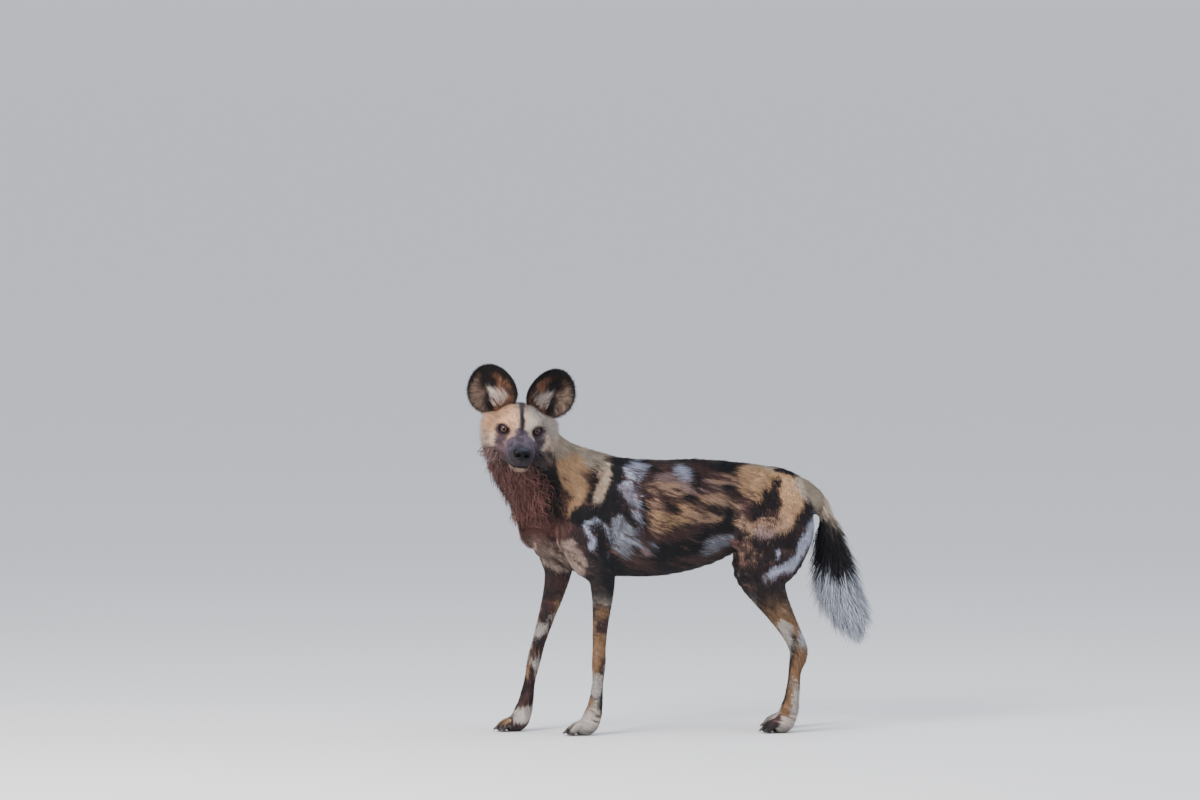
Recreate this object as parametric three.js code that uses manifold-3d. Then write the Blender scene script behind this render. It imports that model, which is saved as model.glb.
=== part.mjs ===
// African wild dog (Lycaon pictus), life size: an adult that stands at ease and turns its head
// to look out over its left shoulder. Millimetres, +Z up. The dog faces -X, its left side is -Y.
// Every sub-part is a closed solid, parted from its neighbours by a thin gap.
import * as THREE from "three";
import { mergeVertices } from "three/addons/utils/BufferGeometryUtils.js";
import Module from "manifold-3d";

const wasm = await Module();
wasm.setup();

// Driving dimensions
const SHOULDER_HEIGHT = 674;
const HEAD_LENGTH = 232;
const EAR_LENGTH = 130;
const EAR_WIDTH = 122;
const TAIL_LENGTH = 385;
const PAW_LENGTH = 88;
const EYE_RADIUS = 11.5;
const GAP = 0.4;

// The stations below are written for an animal of these sizes and follow the driving dimensions.
const bodyUnit = SHOULDER_HEIGHT / 674;
const headUnit = HEAD_LENGTH / 232;
const tailUnit = TAIL_LENGTH / 385;
const pawUnit = PAW_LENGTH / 88;

const UP = new THREE.Vector3(0, 0, 1);
const TAILWARD = new THREE.Vector3(1, 0, 0);
const ACROSS = new THREE.Vector3(0, 1, 0);

// A run of oval sections. A station is [x, y, z, wide, deep]: the half size along wideWay and the
// half size square to it. Gives a function of a point that is negative inside.
function limb(stations, wideWay, { power = 2, steps = 4, unit = 1 } = {}) {
  const places = stations.map(([x, y, z]) => new THREE.Vector3(x, y, z).multiplyScalar(unit));
  const sizes = stations.map(([, , , wide, deep]) => new THREE.Vector3(wide * unit, deep * unit, 0));
  const placeCurve = new THREE.CatmullRomCurve3(places, false, "centripetal");
  const sizeCurve = new THREE.CatmullRomCurve3(sizes, false, "catmullrom", 0.5);
  const count = (stations.length - 1) * steps;
  const parts = [];
  for (let i = 0; i < count; i++) {
    const a = placeCurve.getPoint(i / count);
    const b = placeCurve.getPoint((i + 1) / count);
    const along = b.clone().sub(a);
    const length = along.length();
    along.normalize();
    const wideAxis = wideWay.clone().addScaledVector(along, -wideWay.dot(along)).normalize();
    const deepAxis = along.clone().cross(wideAxis);
    const from = sizeCurve.getPoint(i / count);
    const to = sizeCurve.getPoint((i + 1) / count);
    parts.push({ a, along, length, wideAxis, deepAxis, from, to });
  }
  return (x, y, z) => {
    let nearest = Infinity;
    for (const s of parts) {
      const qx = x - s.a.x;
      const qy = y - s.a.y;
      const qz = z - s.a.z;
      const run = qx * s.along.x + qy * s.along.y + qz * s.along.z;
      const t = Math.min(Math.max(run / s.length, 0), 1);
      const wide = s.from.x + (s.to.x - s.from.x) * t;
      const deep = s.from.y + (s.to.y - s.from.y) * t;
      const over = run - t * s.length;
      const u = Math.abs(qx * s.wideAxis.x + qy * s.wideAxis.y + qz * s.wideAxis.z);
      const v = Math.abs(qx * s.deepAxis.x + qy * s.deepAxis.y + qz * s.deepAxis.z);
      const round = Math.min(wide, deep);
      const share =
        power === 2
          ? Math.sqrt((u / wide) ** 2 + (v / deep) ** 2 + (over / round) ** 2)
          : ((u / wide) ** power + (v / deep) ** power + Math.abs(over / round) ** power) ** (1 / power);
      const far = Math.sqrt(u * u + v * v + over * over);
      const d = share < 1e-6 ? -round : far * (1 - 1 / share);
      if (d < nearest) nearest = d;
    }
    return nearest;
  };
}

// An egg with its half sizes along the three axes.
function egg([cx, cy, cz], [rx, ry, rz], unit = 1) {
  return (x, y, z) => {
    const qx = x / unit - cx;
    const qy = y / unit - cy;
    const qz = z / unit - cz;
    const share = Math.sqrt((qx / rx) ** 2 + (qy / ry) ** 2 + (qz / rz) ** 2);
    const far = Math.sqrt(qx * qx + qy * qy + qz * qz);
    return (share < 1e-6 ? -Math.min(rx, ry, rz) : far * (1 - 1 / share)) * unit;
  };
}

// Forms that flow into one another over the distance `soft`.
function blended(soft, ...forms) {
  return (x, y, z) => {
    let d = Infinity;
    for (const form of forms) {
      const e = form(x, y, z);
      const h = Math.max(soft - Math.abs(d - e), 0) / soft;
      d = Math.min(d, e) - (Number.isFinite(h) ? (h * h * soft) / 4 : 0);
    }
    return d;
  };
}

// A form with a rounded hollow pressed into it.
const pressed = (soft, form, hollow) => (x, y, z) => {
  const a = form(x, y, z);
  const b = -hollow(x, y, z);
  const h = Math.max(soft - Math.abs(a - b), 0) / soft;
  return Math.max(a, b) + (h * h * soft) / 4;
};

// The first place where a ray from inside a form comes out of it, as a distance, no further than reach.
function reachOf(form, origin, way, reach) {
  const at = (t) => form(origin.x + way.x * t, origin.y + way.y * t, origin.z + way.z * t);
  let inside = 0;
  let t = 0;
  for (let i = 0; i < 90 && t < reach; i++) {
    const d = at(t);
    if (d > 0) break;
    inside = t;
    t += Math.max(-d * 0.6, 0.4);
  }
  let outside = Math.min(t, reach);
  for (let i = 0; i < 18; i++) {
    const middle = (inside + outside) / 2;
    if (at(middle) > 0) outside = middle;
    else inside = middle;
  }
  return (inside + outside) / 2;
}

// A closed skin round a form: rings of rays cast square to a spine, with a pole at each end.
// crowd draws the rings towards the ends of the spine, where the form rounds off. swell puts the
// whole skin that much further out, for a cutter that leaves a gap.
function skin(form, spine, { sides, rings, wideWay, swell = 0, reach = 400, crowd = 0.5, unit = 1 }) {
  const points = spine.map(([x, y, z]) => new THREE.Vector3(x, y, z).multiplyScalar(unit));
  const curve = new THREE.CatmullRomCurve3(points, false, "centripetal");
  const verts = [];
  for (let i = 0; i <= rings; i++) {
    const even = i / rings;
    const t = even + (crowd * (0.5 - 0.5 * Math.cos(Math.PI * even) - even));
    const centre = curve.getPointAt(t);
    const along = curve.getTangentAt(t);
    const wideAxis = wideWay.clone().addScaledVector(along, -wideWay.dot(along)).normalize();
    const deepAxis = along.clone().cross(wideAxis);
    for (let j = 0; j < sides; j++) {
      const turn = (2 * Math.PI * j) / sides;
      const way = wideAxis.clone().multiplyScalar(Math.cos(turn)).addScaledVector(deepAxis, Math.sin(turn));
      const out = centre.clone().addScaledVector(way, reachOf(form, centre, way, reach) + swell);
      verts.push(out.x, out.y, out.z);
    }
  }
  const pole = (t, sign) => {
    const centre = curve.getPointAt(t);
    const way = curve.getTangentAt(t).multiplyScalar(sign);
    const out = centre.clone().addScaledVector(way, reachOf(form, centre, way, reach) + swell);
    verts.push(out.x, out.y, out.z);
  };
  pole(0, -1);
  pole(1, 1);
  const first = (rings + 1) * sides;
  const faces = [];
  for (let j = 0; j < sides; j++) {
    const k = (j + 1) % sides;
    faces.push(first, k, j, first + 1, rings * sides + j, rings * sides + k);
    for (let i = 0; i < rings; i++) {
      const a = i * sides + j;
      const b = i * sides + k;
      faces.push(a, b, a + sides, b, b + sides, a + sides);
    }
  }
  return geometryOf(verts, faces);
}

function geometryOf(verts, faces) {
  return new THREE.BufferGeometry()
    .setAttribute("position", new THREE.Float32BufferAttribute(verts, 3))
    .setIndex(faces);
}

// A closed geometry as a solid with its faces outward.
function solidOf(geometry) {
  const bare = geometry.clone();
  bare.deleteAttribute("normal");
  bare.deleteAttribute("uv");
  const merged = mergeVertices(bare, 1e-4);
  const triVerts = new Uint32Array(merged.index.array);
  const vertProperties = merged.attributes.position.array;
  const made = new wasm.Manifold(new wasm.Mesh({ numProp: 3, vertProperties, triVerts }));
  if (made.volume() > 0) return made;
  for (let i = 0; i < triVerts.length; i += 3) {
    [triVerts[i + 1], triVerts[i + 2]] = [triVerts[i + 2], triVerts[i + 1]];
  }
  return new wasm.Manifold(new wasm.Mesh({ numProp: 3, vertProperties, triVerts }));
}

const joined = (solids) => solids.reduce((all, one) => all.add(one));
const without = (solid, ...cutters) => cutters.reduce((left, cutter) => left.subtract(cutter), solid);
const largest = (solid) => solid.decompose().reduce((a, b) => (a.volume() > b.volume() ? a : b));

function geometryFrom(solid) {
  const mesh = solid.getMesh();
  const verts = [];
  for (let i = 0; i < mesh.numVert; i++) {
    verts.push(...mesh.vertProperties.subarray(i * mesh.numProp, i * mesh.numProp + 3));
  }
  return geometryOf(verts, [...mesh.triVerts]);
}

const inPlace = (solid, matrix) => solidOf(geometryFrom(solid).applyMatrix4(matrix));

function box([x0, y0, z0], [x1, y1, z1]) {
  const made = new THREE.BoxGeometry(x1 - x0, y1 - y0, z1 - z0);
  return made.translate((x0 + x1) / 2, (y0 + y1) / 2, (z0 + z1) / 2);
}

// Random numbers that come out the same at every run.
function seeded(seed) {
  let state = seed;
  return (low, high) => {
    state = (Math.imul(state, 1664525) + 1013904223) >>> 0;
    return low + ((high - low) * state) / 4294967296;
  };
}

// One lock of hair: a flat blade with a sharp tip that leaves its root along `way` and sags along `sag`.
function lock(root, way, sag, flatWay, { length, width, thick, bend }) {
  const shares = [
    [0, 0.8],
    [0.34, 1],
    [0.7, 0.66],
  ];
  const place = (t) => {
    const drop = length * bend * t * t;
    return root.clone().addScaledVector(way, length * t - 0.3 * drop).addScaledVector(sag, drop);
  };
  const verts = [];
  for (const [t, share] of shares) {
    const along = place(t + 0.01).sub(place(t)).normalize();
    const side = along.clone().cross(flatWay).normalize();
    const flat = side.clone().cross(along);
    for (const [across, up] of [[1, 0], [0, 1], [-1, 0], [0, -1]]) {
      const point = place(t)
        .addScaledVector(side, (across * width * share) / 2)
        .addScaledVector(flat, (up * thick * share) / 2);
      verts.push(...point.toArray());
    }
  }
  verts.push(...place(1).toArray());
  const last = (shares.length - 1) * 4;
  const tip = last + 4;
  const faces = [0, 2, 1, 0, 3, 2];
  for (let j = 0; j < 4; j++) {
    const k = (j + 1) % 4;
    for (let i = 0; i < last; i += 4) faces.push(i + j, i + k, i + 4 + j, i + k, i + 4 + k, i + 4 + j);
    faces.push(last + j, last + k, tip);
  }
  return solidOf(geometryOf(verts, faces));
}

const material = (color, roughness = 0.85) =>
  new THREE.MeshStandardMaterial({ color, roughness, metalness: 0 });

const coat = {
  dark: material(0x2a2224),
  tawny: material(0xa98560),
  pale: material(0xd9d0c6),
  throat: material(0x5a3c38),
  face: material(0xb79f80),
  ear: material(0x4a3a30),
  nose: material(0x15151a, 0.45),
  eye: material(0x3a2415, 0.1),
};

// One named node. Its geometry is kept about its own pivot, which becomes the mesh's position.
function node(name, solid, finish, pivot = new THREE.Vector3()) {
  const geometry = geometryFrom(solid).translate(-pivot.x, -pivot.y, -pivot.z).toNonIndexed();
  geometry.computeVertexNormals();
  const mesh = new THREE.Mesh(geometry, finish);
  mesh.name = name;
  mesh.position.copy(pivot);
  return mesh;
}

// Torso: a deep narrow chest, a tucked-up loin and a sloping rump.
// [x, top, bottom, half width]
const TRUNK_STATIONS = [
  [-318, 520, 452, 30],
  [-292, 585, 424, 48],
  [-232, 640, 398, 62],
  [-160, 668, 384, 74],
  [-86, 674, 381, 84],
  [-5, 670, 382, 95],
  [77, 672, 400, 98],
  [146, 668, 432, 90],
  [201, 662, 462, 79],
  [259, 651, 480, 70],
  [317, 632, 498, 58],
  [358, 604, 522, 42],
  [382, 578, 540, 24],
];
const trunkForm = limb(
  TRUNK_STATIONS.map(([x, top, bottom, half]) => [x, 0, (top + bottom) / 2, half, (top - bottom) / 2]),
  ACROSS,
  { power: 2.2, unit: bodyUnit },
);
const trunkSpine = [
  [-310, 0, 486],
  [-200, 0, 525],
  [-60, 0, 535],
  [100, 0, 545],
  [250, 0, 570],
  [385, 0, 558],
];

// Neck: rises out of the chest and bends round to the left to carry the head. It flows into the trunk,
// and the two are parted by a flat cut from the withers to the point of the chest.
const NECK_STATIONS = [
  [-150, 0, 556, 62, 108],
  [-216, -2, 586, 66, 118],
  [-280, -10, 630, 69, 104],
  [-322, -29, 676, 74, 92],
  [-345, -57, 716, 76, 82],
  [-352, -84, 738, 70, 62],
];
const NECK_CUT = [[-128, 700], [-354, 408]];
const neckForm = limb(NECK_STATIONS, ACROSS, { unit: bodyUnit });
const neckSpine = [[-96, 0, 536], ...NECK_STATIONS.map(([x, y, z]) => [x, y, z])];
const bodyForm = blended(46 * bodyUnit, trunkForm, neckForm);
const trunkSkin = (swell) =>
  solidOf(skin(bodyForm, trunkSpine, { sides: 26, rings: 24, wideWay: ACROSS, swell, unit: bodyUnit }));
const neckSkin = (swell) =>
  solidOf(skin(bodyForm, neckSpine, { sides: 18, rings: 11, wideWay: ACROSS, swell, unit: bodyUnit }));

// The ruff: rows of locks from the cheeks down the throat, lying down the neck and lifting off it.
const RUFF_ROWS = 7;
const RUFF_LOCKS = 6;
const RUFF_REACH = 62;
const ROOT_DEPTH = 13;
function ruffLocks() {
  const curve = new THREE.CatmullRomCurve3(
    neckSpine.map(([x, y, z]) => at(x, y, z)),
    false,
    "centripetal",
  );
  const pick = seeded(11);
  const locks = [];
  for (let row = 0; row < RUFF_ROWS; row++) {
    for (let i = 0; i < RUFF_LOCKS; i++) {
      const t = 0.96 - (0.66 * (row + pick(-0.25, 0.25))) / RUFF_ROWS;
      const share = (i + 0.5 + pick(-0.3, 0.3) + (row % 2) / 2) / RUFF_LOCKS;
      const turn = THREE.MathUtils.degToRad(-8 + 196 * share);
      const centre = curve.getPointAt(t);
      const along = curve.getTangentAt(t);
      const wideAxis = ACROSS.clone().addScaledVector(along, -ACROSS.dot(along)).normalize();
      const deepAxis = along.clone().cross(wideAxis);
      const out = wideAxis.multiplyScalar(Math.cos(turn)).addScaledVector(deepAxis, Math.sin(turn));
      const reach = reachOf(bodyForm, centre, out, 400) - ROOT_DEPTH * bodyUnit;
      const root = centre.clone().addScaledVector(out, reach);
      const way = along.clone().multiplyScalar(-pick(0.5, 0.8));
      way.addScaledVector(out, pick(0.75, 0.95)).normalize();
      const sag = UP.clone().multiplyScalar(-0.8).addScaledVector(along, -0.6).normalize();
      const size = pick(0.85, 1.12) * bodyUnit;
      const shape = { length: RUFF_REACH * size, width: 27 * size, thick: 9 * size, bend: pick(0.15, 0.5) };
      locks.push(lock(root, way, sag, out, shape));
    }
  }
  return locks;
}

// Everything ahead of the cut between neck and trunk, moved forward by so much.
function aheadOfCut(clear) {
  const [[x0, z0], [x1, z1]] = NECK_CUT;
  const long = Math.hypot(x1 - x0, z1 - z0);
  const forward = [(z1 - z0) / long, -(x1 - x0) / long];
  const half = new THREE.Shape();
  const corner = (t, out) => [
    x0 + (x1 - x0) * t + forward[0] * (out + clear),
    z0 + (z1 - z0) * t + forward[1] * (out + clear),
  ];
  half.moveTo(...corner(-2, 0));
  half.lineTo(...corner(3, 0));
  half.lineTo(...corner(3, 1500));
  half.lineTo(...corner(-2, 1500));
  const made = new THREE.ExtrudeGeometry(half, { depth: 1200, bevelEnabled: false });
  made.translate(0, 0, -600).rotateX(Math.PI / 2).scale(bodyUnit, bodyUnit, bodyUnit);
  return solidOf(made);
}

// Legs: [x, y, z, fore and aft, across] from the shoulder or hip down to the foot, for the left side.
const FORELEG_LEFT = [
  [-104, 50, 628, 40, 24],
  [-150, 64, 560, 58, 29],
  [-196, 64, 490, 60, 34],
  [-190, 68, 438, 52, 32],
  [-158, 70, 398, 40, 27],
  [-152, 70, 350, 32, 24],
  [-156, 69, 285, 25, 20],
  [-160, 68, 220, 21, 18],
  [-161, 67, 172, 21, 20],
  [-164, 66, 120, 17, 18],
  [-172, 65, 62, 19, 22],
  [-184, 65, 30, 22, 25],
];
const FORELEG_RIGHT = [
  [-110, 51, 628, 40, 24],
  [-166, 64, 560, 58, 29],
  [-232, 64, 490, 60, 34],
  [-244, 68, 440, 52, 32],
  [-242, 71, 398, 40, 27],
  [-250, 71, 350, 32, 24],
  [-270, 70, 285, 25, 20],
  [-290, 69, 220, 21, 18],
  [-303, 68, 172, 21, 20],
  [-314, 66, 120, 17, 18],
  [-326, 65, 62, 19, 22],
  [-338, 65, 30, 22, 25],
];
const HINDLEG_LEFT = [
  [300, 40, 618, 50, 26],
  [284, 54, 560, 88, 38],
  [274, 62, 500, 101, 42],
  [262, 68, 440, 88, 40],
  [246, 71, 390, 66, 34],
  [262, 71, 338, 46, 28],
  [294, 69, 282, 33, 22],
  [322, 67, 232, 27, 18],
  [335, 66, 196, 25, 18],
  [326, 66, 150, 18, 16],
  [320, 66, 100, 17, 17],
  [312, 66, 55, 19, 21],
  [300, 66, 28, 22, 25],
];
const HIND_STRIDE = 26;
const shifted = (stations, stride) =>
  stations.map(([x, y, z, wide, deep], i) => [x + (stride * i) / stations.length, y, z, wide, deep]);
const HINDLEG_RIGHT = shifted(HINDLEG_LEFT, HIND_STRIDE);

const toSide = (stations, side) => stations.map(([x, y, ...rest]) => [x, y * side, ...rest]);

function legSolid(stations, side, sides, rings, swell = 0) {
  const placed = toSide(stations, side);
  const form = limb(placed, TAILWARD, { power: 2, unit: bodyUnit });
  const spine = placed.map(([x, y, z]) => [x, y, z]);
  const shape = { sides, rings, wideWay: TAILWARD, swell, unit: bodyUnit, crowd: 0.15 };
  return solidOf(skin(form, spine, shape));
}

// Paw: four toes with a blunt claw each, and one broad pad behind them. [offset across, length share]
const TOES = [
  [-18.5, 0.84],
  [-7, 1],
  [7, 1],
  [18.5, 0.84],
];
function pawSolid(x, y) {
  const pieces = [];
  const heel = limb(
    [[10, 0, 52, 19, 21], [4, 0, 34, 21, 23], [-8, 0, 20, 22, 25], [-20, 0, 17, 18, 24]],
    TAILWARD,
    { unit: pawUnit },
  );
  const heelSpine = [[10, 0, 54], [4, 0, 36], [-8, 0, 22], [-19, 0, 17]];
  pieces.push(solidOf(skin(heel, heelSpine, { sides: 8, rings: 4, wideWay: TAILWARD, unit: pawUnit })));
  for (const [offset, share] of TOES) {
    const fan = offset * 0.1;
    const knuckle = [-18, offset * 0.85, 30];
    const middle = [-34 * share - 4, offset + fan * 0.5, 22];
    const tip = [-51 * share, offset + fan, 10];
    const stations = [[...knuckle, 8, 8], [...middle, 9, 9], [...tip, 8.6, 8.5]];
    const toe = limb(stations, ACROSS, { unit: pawUnit });
    pieces.push(
      solidOf(skin(toe, [knuckle, middle, tip], { sides: 6, rings: 3, wideWay: ACROSS, unit: pawUnit })),
    );
    const base = [tip[0] - 4, tip[1], 11];
    const end = [tip[0] - 16, tip[1], 3.2];
    const claw = limb([[...base, 3, 4], [...end, 1, 1.4]], ACROSS, { unit: pawUnit, steps: 2 });
    pieces.push(solidOf(skin(claw, [base, end], { sides: 4, rings: 1, wideWay: ACROSS, unit: pawUnit })));
  }
  const floor = solidOf(box([-200, -200, -100], [200, 200, 0]));
  return largest(without(joined(pieces), floor)).translate([x, y, 0]);
}

// Head, in its own frame: +X to the nose, +Y to the dog's left, +Z up, the origin midway between the eyes.
const cranium = egg([-60, 0, 4], [58, 60, 50], headUnit);
const forehead = egg([-26, 0, 8], [42, 50, 36], headUnit);
const cheeks = [1, -1].map((side) => egg([-40, side * 46, -26], [44, 38, 44], headUnit));
const brows = [1, -1].map((side) => egg([-7, side * 33, 17], [19, 18, 13], headUnit));
const throat = egg([-48, 0, -48], [52, 54, 38], headUnit);
const muzzle = limb(
  [[-10, 0, -24, 44, 36], [30, 0, -31, 38, 35], [58, 0, -37, 36, 32], [78, 0, -42, 32, 27]],
  ACROSS,
  { power: 2.5, unit: headUnit },
);
const jawBar = limb(
  [[-30, 0, -60, 40, 24], [20, 0, -68, 33, 18], [58, 0, -73, 27, 14], [82, 0, -75, 21, 12]],
  ACROSS,
  { unit: headUnit },
);
const orbits = [1, -1].map((side) => egg([15, side * 46, -3], [20, 17, 14], headUnit));
const headForm = orbits.reduce(
  (form, orbit) => pressed(8, form, orbit),
  blended(22, cranium, forehead, ...cheeks, throat, ...brows, blended(8, muzzle, jawBar)),
);
const headSpine = [[-112, 0, 2], [-60, 0, -12], [0, 0, -26], [50, 0, -44], [94, 0, -50]];
const headSkin = (swell) =>
  solidOf(skin(headForm, headSpine, { sides: 26, rings: 27, wideWay: ACROSS, swell, unit: headUnit }));

const EYE_AT = [-8, 38, -1];
const EYE_OUTWARD = 16;
const LID_THICKNESS = 2.4;
const LID_OPENING = [11.5, 7.6];
const eyeCentre = (side) =>
  new THREE.Vector3(EYE_AT[0], EYE_AT[1] * side, EYE_AT[2]).multiplyScalar(headUnit);
const ball = (radius, centre, turns) =>
  solidOf(new THREE.SphereGeometry(radius, turns, Math.round(turns * 0.6)).translate(...centre.toArray()));

// The slit between the lids, as an almond drawn through the lids along the gaze.
function lidSlit(side) {
  const [half, rise] = LID_OPENING;
  const almond = new THREE.Shape();
  almond.moveTo(-half, 0);
  almond.quadraticCurveTo(0, rise * 2, half, 0);
  almond.quadraticCurveTo(0, -rise * 1.7, -half, 0);
  const made = new THREE.ExtrudeGeometry(almond, { depth: 40, bevelEnabled: false, curveSegments: 6 });
  const gaze = new THREE.Matrix4().makeRotationZ(THREE.MathUtils.degToRad(EYE_OUTWARD * side));
  const upright = new THREE.Matrix4().makeBasis(ACROSS, UP, TAILWARD);
  const tilt = new THREE.Matrix4().makeRotationX(THREE.MathUtils.degToRad(10 * side));
  made.applyMatrix4(upright).applyMatrix4(tilt).applyMatrix4(gaze);
  return solidOf(made.translate(...eyeCentre(side).toArray()));
}

// The lower jaw is what lies under the line of the mouth, forward of its corner.
function jawRegion(grow) {
  const line = new THREE.Shape();
  line.moveTo(150, -67 + grow);
  line.lineTo(96, -67 + grow);
  line.quadraticCurveTo(56, -72 + grow, 26 - grow, -60 + grow);
  line.quadraticCurveTo(8 - grow, -80, 2 - grow, -150);
  line.lineTo(150, -150);
  const made = new THREE.ExtrudeGeometry(line, { depth: 260, bevelEnabled: false, curveSegments: 6 });
  made.translate(0, 0, -130).rotateX(Math.PI / 2).scale(headUnit, headUnit, headUnit);
  return solidOf(made);
}

const nosePad = egg([98, 0, -33], [14, 21, 17], headUnit);
const noseSpine = [[89, 0, -33], [107, 0, -33]];
const noseSkin = (swell) =>
  solidOf(skin(nosePad, noseSpine, { sides: 14, rings: 5, wideWay: ACROSS, swell, unit: headUnit }));
function nostril(side) {
  const run = limb(
    [[118, side * 7, -33, 4.4, 5], [104, side * 10, -33, 4.6, 4.6], [94, side * 11, -30, 3, 3]],
    ACROSS,
    { unit: headUnit },
  );
  const slit = limb([[110, side * 9, -36, 2, 2.6], [100, side * 21, -34, 2, 2]], UP, { unit: headUnit });
  const runSpine = [[118, side * 7, -33], [94, side * 11, -30]];
  const slitSpine = [[110, side * 9, -36], [100, side * 21, -34]];
  return [
    solidOf(skin(run, runSpine, { sides: 6, rings: 2, wideWay: ACROSS, unit: headUnit })),
    solidOf(skin(slit, slitSpine, { sides: 4, rings: 1, wideWay: UP, unit: headUnit })),
  ];
}

// Ear: a round dish on a short stalk. In its own frame +X is outward, +Y up the ear, +Z the way it faces.
const EAR_ROOT = [-64, 52, 34];
const EAR_LEAN = 20;
const EAR_TURN = 12;
const EAR_DEPTH = 30;
const EAR_CENTRE = [4, 46];
const EAR_POCKET = [12, 30];
function earDish() {
  const around = 20;
  const hoops = [0.2, 0.55, 0.84, 1];
  const verts = [];
  const edge = (turn) => {
    const lift = Math.sin(turn);
    const low = lift < 0 ? 0.94 : 1;
    return [
      EAR_CENTRE[0] + (EAR_WIDTH / 2) * Math.cos(turn) * (1 - 0.06 * lift),
      EAR_CENTRE[1] + (EAR_LENGTH / 2) * lift * low,
      5 * Math.cos(2 * turn) - 4 * Math.cos(turn),
    ];
  };
  const surface = (turn, out, thick) => {
    const [ex, ey, ez] = edge(turn);
    const swell = -EAR_DEPTH * (1 - out ** 2.2) - thick;
    const inset = thick ? 1 - 0.01 * (1 - out) : 1;
    return [
      EAR_POCKET[0] + (ex - EAR_POCKET[0]) * out * inset,
      EAR_POCKET[1] + (ey - EAR_POCKET[1]) * out * inset,
      ez * out * out + swell,
    ];
  };
  for (const thickAt of [() => 0, (out) => 3.2 + 4 * (1 - out)]) {
    for (const out of hoops) {
      for (let j = 0; j < around; j++) {
        verts.push(...surface((2 * Math.PI * j) / around, out, thickAt(out)));
      }
    }
    verts.push(...surface(0, 0, thickAt(0)));
  }
  const side = hoops.length * around + 1;
  const faces = [];
  for (let j = 0; j < around; j++) {
    const k = (j + 1) % around;
    faces.push(side - 1, j, k, 2 * side - 1, side + k, side + j);
    for (let i = 0; i < hoops.length - 1; i++) {
      const a = i * around + j;
      const b = i * around + k;
      faces.push(a, a + around, b, b, a + around, b + around);
      faces.push(side + a, side + b, side + a + around, side + b, side + b + around, side + a + around);
    }
    const a = (hoops.length - 1) * around;
    faces.push(a + j, side + a + j, a + k, a + k, side + a + j, side + a + k);
  }
  return geometryOf(verts, faces);
}
function earSolid() {
  const stalk = limb([[-8, -26, -18, 30, 24], [-2, -6, -36, 30, 20], [6, 26, -44, 20, 12]], TAILWARD);
  const stalkSpine = [[-8, -26, -18], [-2, -6, -36], [6, 26, -44]];
  const stalkSkin = skin(stalk, stalkSpine, { sides: 10, rings: 5, wideWay: TAILWARD });
  return joined([solidOf(earDish()), solidOf(stalkSkin)]);
}
// The ear's own frame stood on the head, mirrored for the right ear.
function earMatrix(side) {
  const lean = THREE.MathUtils.degToRad(EAR_LEAN);
  const turn = THREE.MathUtils.degToRad(EAR_TURN);
  const upward = new THREE.Vector3(0, Math.sin(lean), Math.cos(lean));
  const outward = new THREE.Vector3(-Math.sin(turn), Math.cos(lean) * Math.cos(turn), -Math.sin(lean));
  outward.addScaledVector(upward, -outward.dot(upward)).normalize();
  const facing = outward.clone().cross(upward).normalize();
  const stood = new THREE.Matrix4().makeBasis(outward, upward, facing);
  stood.setPosition(...EAR_ROOT);
  const mirror = new THREE.Matrix4().makeScale(1, side, 1);
  return mirror.multiply(stood).premultiply(new THREE.Matrix4().makeScale(headUnit, headUnit, headUnit));
}

// Tail: hangs from the rump, a slim root that swells into a brush. [x, y, z, fore and aft, across]
const TAIL_STATIONS = [
  [352, 0, 588, 22, 24],
  [386, 0, 566, 19, 20],
  [406, 0, 530, 16, 18],
  [418, 0, 483, 18, 18],
  [430, 0, 421, 26, 22],
  [442, 0, 360, 31, 25],
  [460, 0, 310, 29, 23],
  [470, 0, 286, 18, 16],
];
const TAIL_TIP_TOP = 384;
const tailRoot = at(...TAIL_STATIONS[0]);
const tailPlace = (x, y, z) => [
  tailRoot.x + (x - TAIL_STATIONS[0][0]) * tailUnit,
  y * tailUnit,
  tailRoot.z + (z - TAIL_STATIONS[0][2]) * tailUnit,
];
const tailStations = TAIL_STATIONS.map(([x, y, z, wide, deep]) => [
  ...tailPlace(x, y, z),
  wide * tailUnit,
  deep * tailUnit,
]);
const tailForm = limb(tailStations, TAILWARD);
const tailSpine = tailStations.map(([x, y, z]) => [x, y, z]);
const tailSkin = () => solidOf(skin(tailForm, tailSpine, { sides: 12, rings: 12, wideWay: TAILWARD }));

// The brush: locks that leave the tail all round, lie down along it and end past its tip.
// [share of the way down, locks round it, reach, spread]
const BRUSH_ROWS = [
  [0.3, 4, 58, 0.3],
  [0.44, 5, 74, 0.42],
  [0.57, 6, 84, 0.5],
  [0.71, 7, 86, 0.55],
  [0.83, 7, 84, 0.55],
  [0.94, 7, 76, 0.45],
  [0.99, 3, 66, 0.18],
];
function brushLocks() {
  const curve = new THREE.CatmullRomCurve3(
    tailSpine.map(([x, y, z]) => new THREE.Vector3(x, y, z)),
    false,
    "centripetal",
  );
  const pick = seeded(29);
  const locks = [];
  for (const [t, count, reach, spread] of BRUSH_ROWS) {
    for (let i = 0; i < count; i++) {
      const turn = (2 * Math.PI * (i + pick(-0.2, 0.2))) / count + t * 9;
      const centre = curve.getPointAt(t);
      const along = curve.getTangentAt(t);
      const wideAxis = TAILWARD.clone().addScaledVector(along, -TAILWARD.dot(along)).normalize();
      const deepAxis = along.clone().cross(wideAxis);
      const out = wideAxis.multiplyScalar(Math.cos(turn)).addScaledVector(deepAxis, Math.sin(turn));
      const root = centre.clone().addScaledVector(out, reachOf(tailForm, centre, out, 100) - 9 * tailUnit);
      const way = along.clone().addScaledVector(out, spread * pick(0.8, 1.15)).normalize();
      const size = pick(0.85, 1.1) * tailUnit;
      const shape = { length: reach * size, width: 30 * size, thick: 9 * size, bend: pick(0.1, 0.3) };
      locks.push({ low: t > 0.68, solid: lock(root, way, UP.clone().negate(), out, shape) });
    }
  }
  return locks;
}

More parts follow.
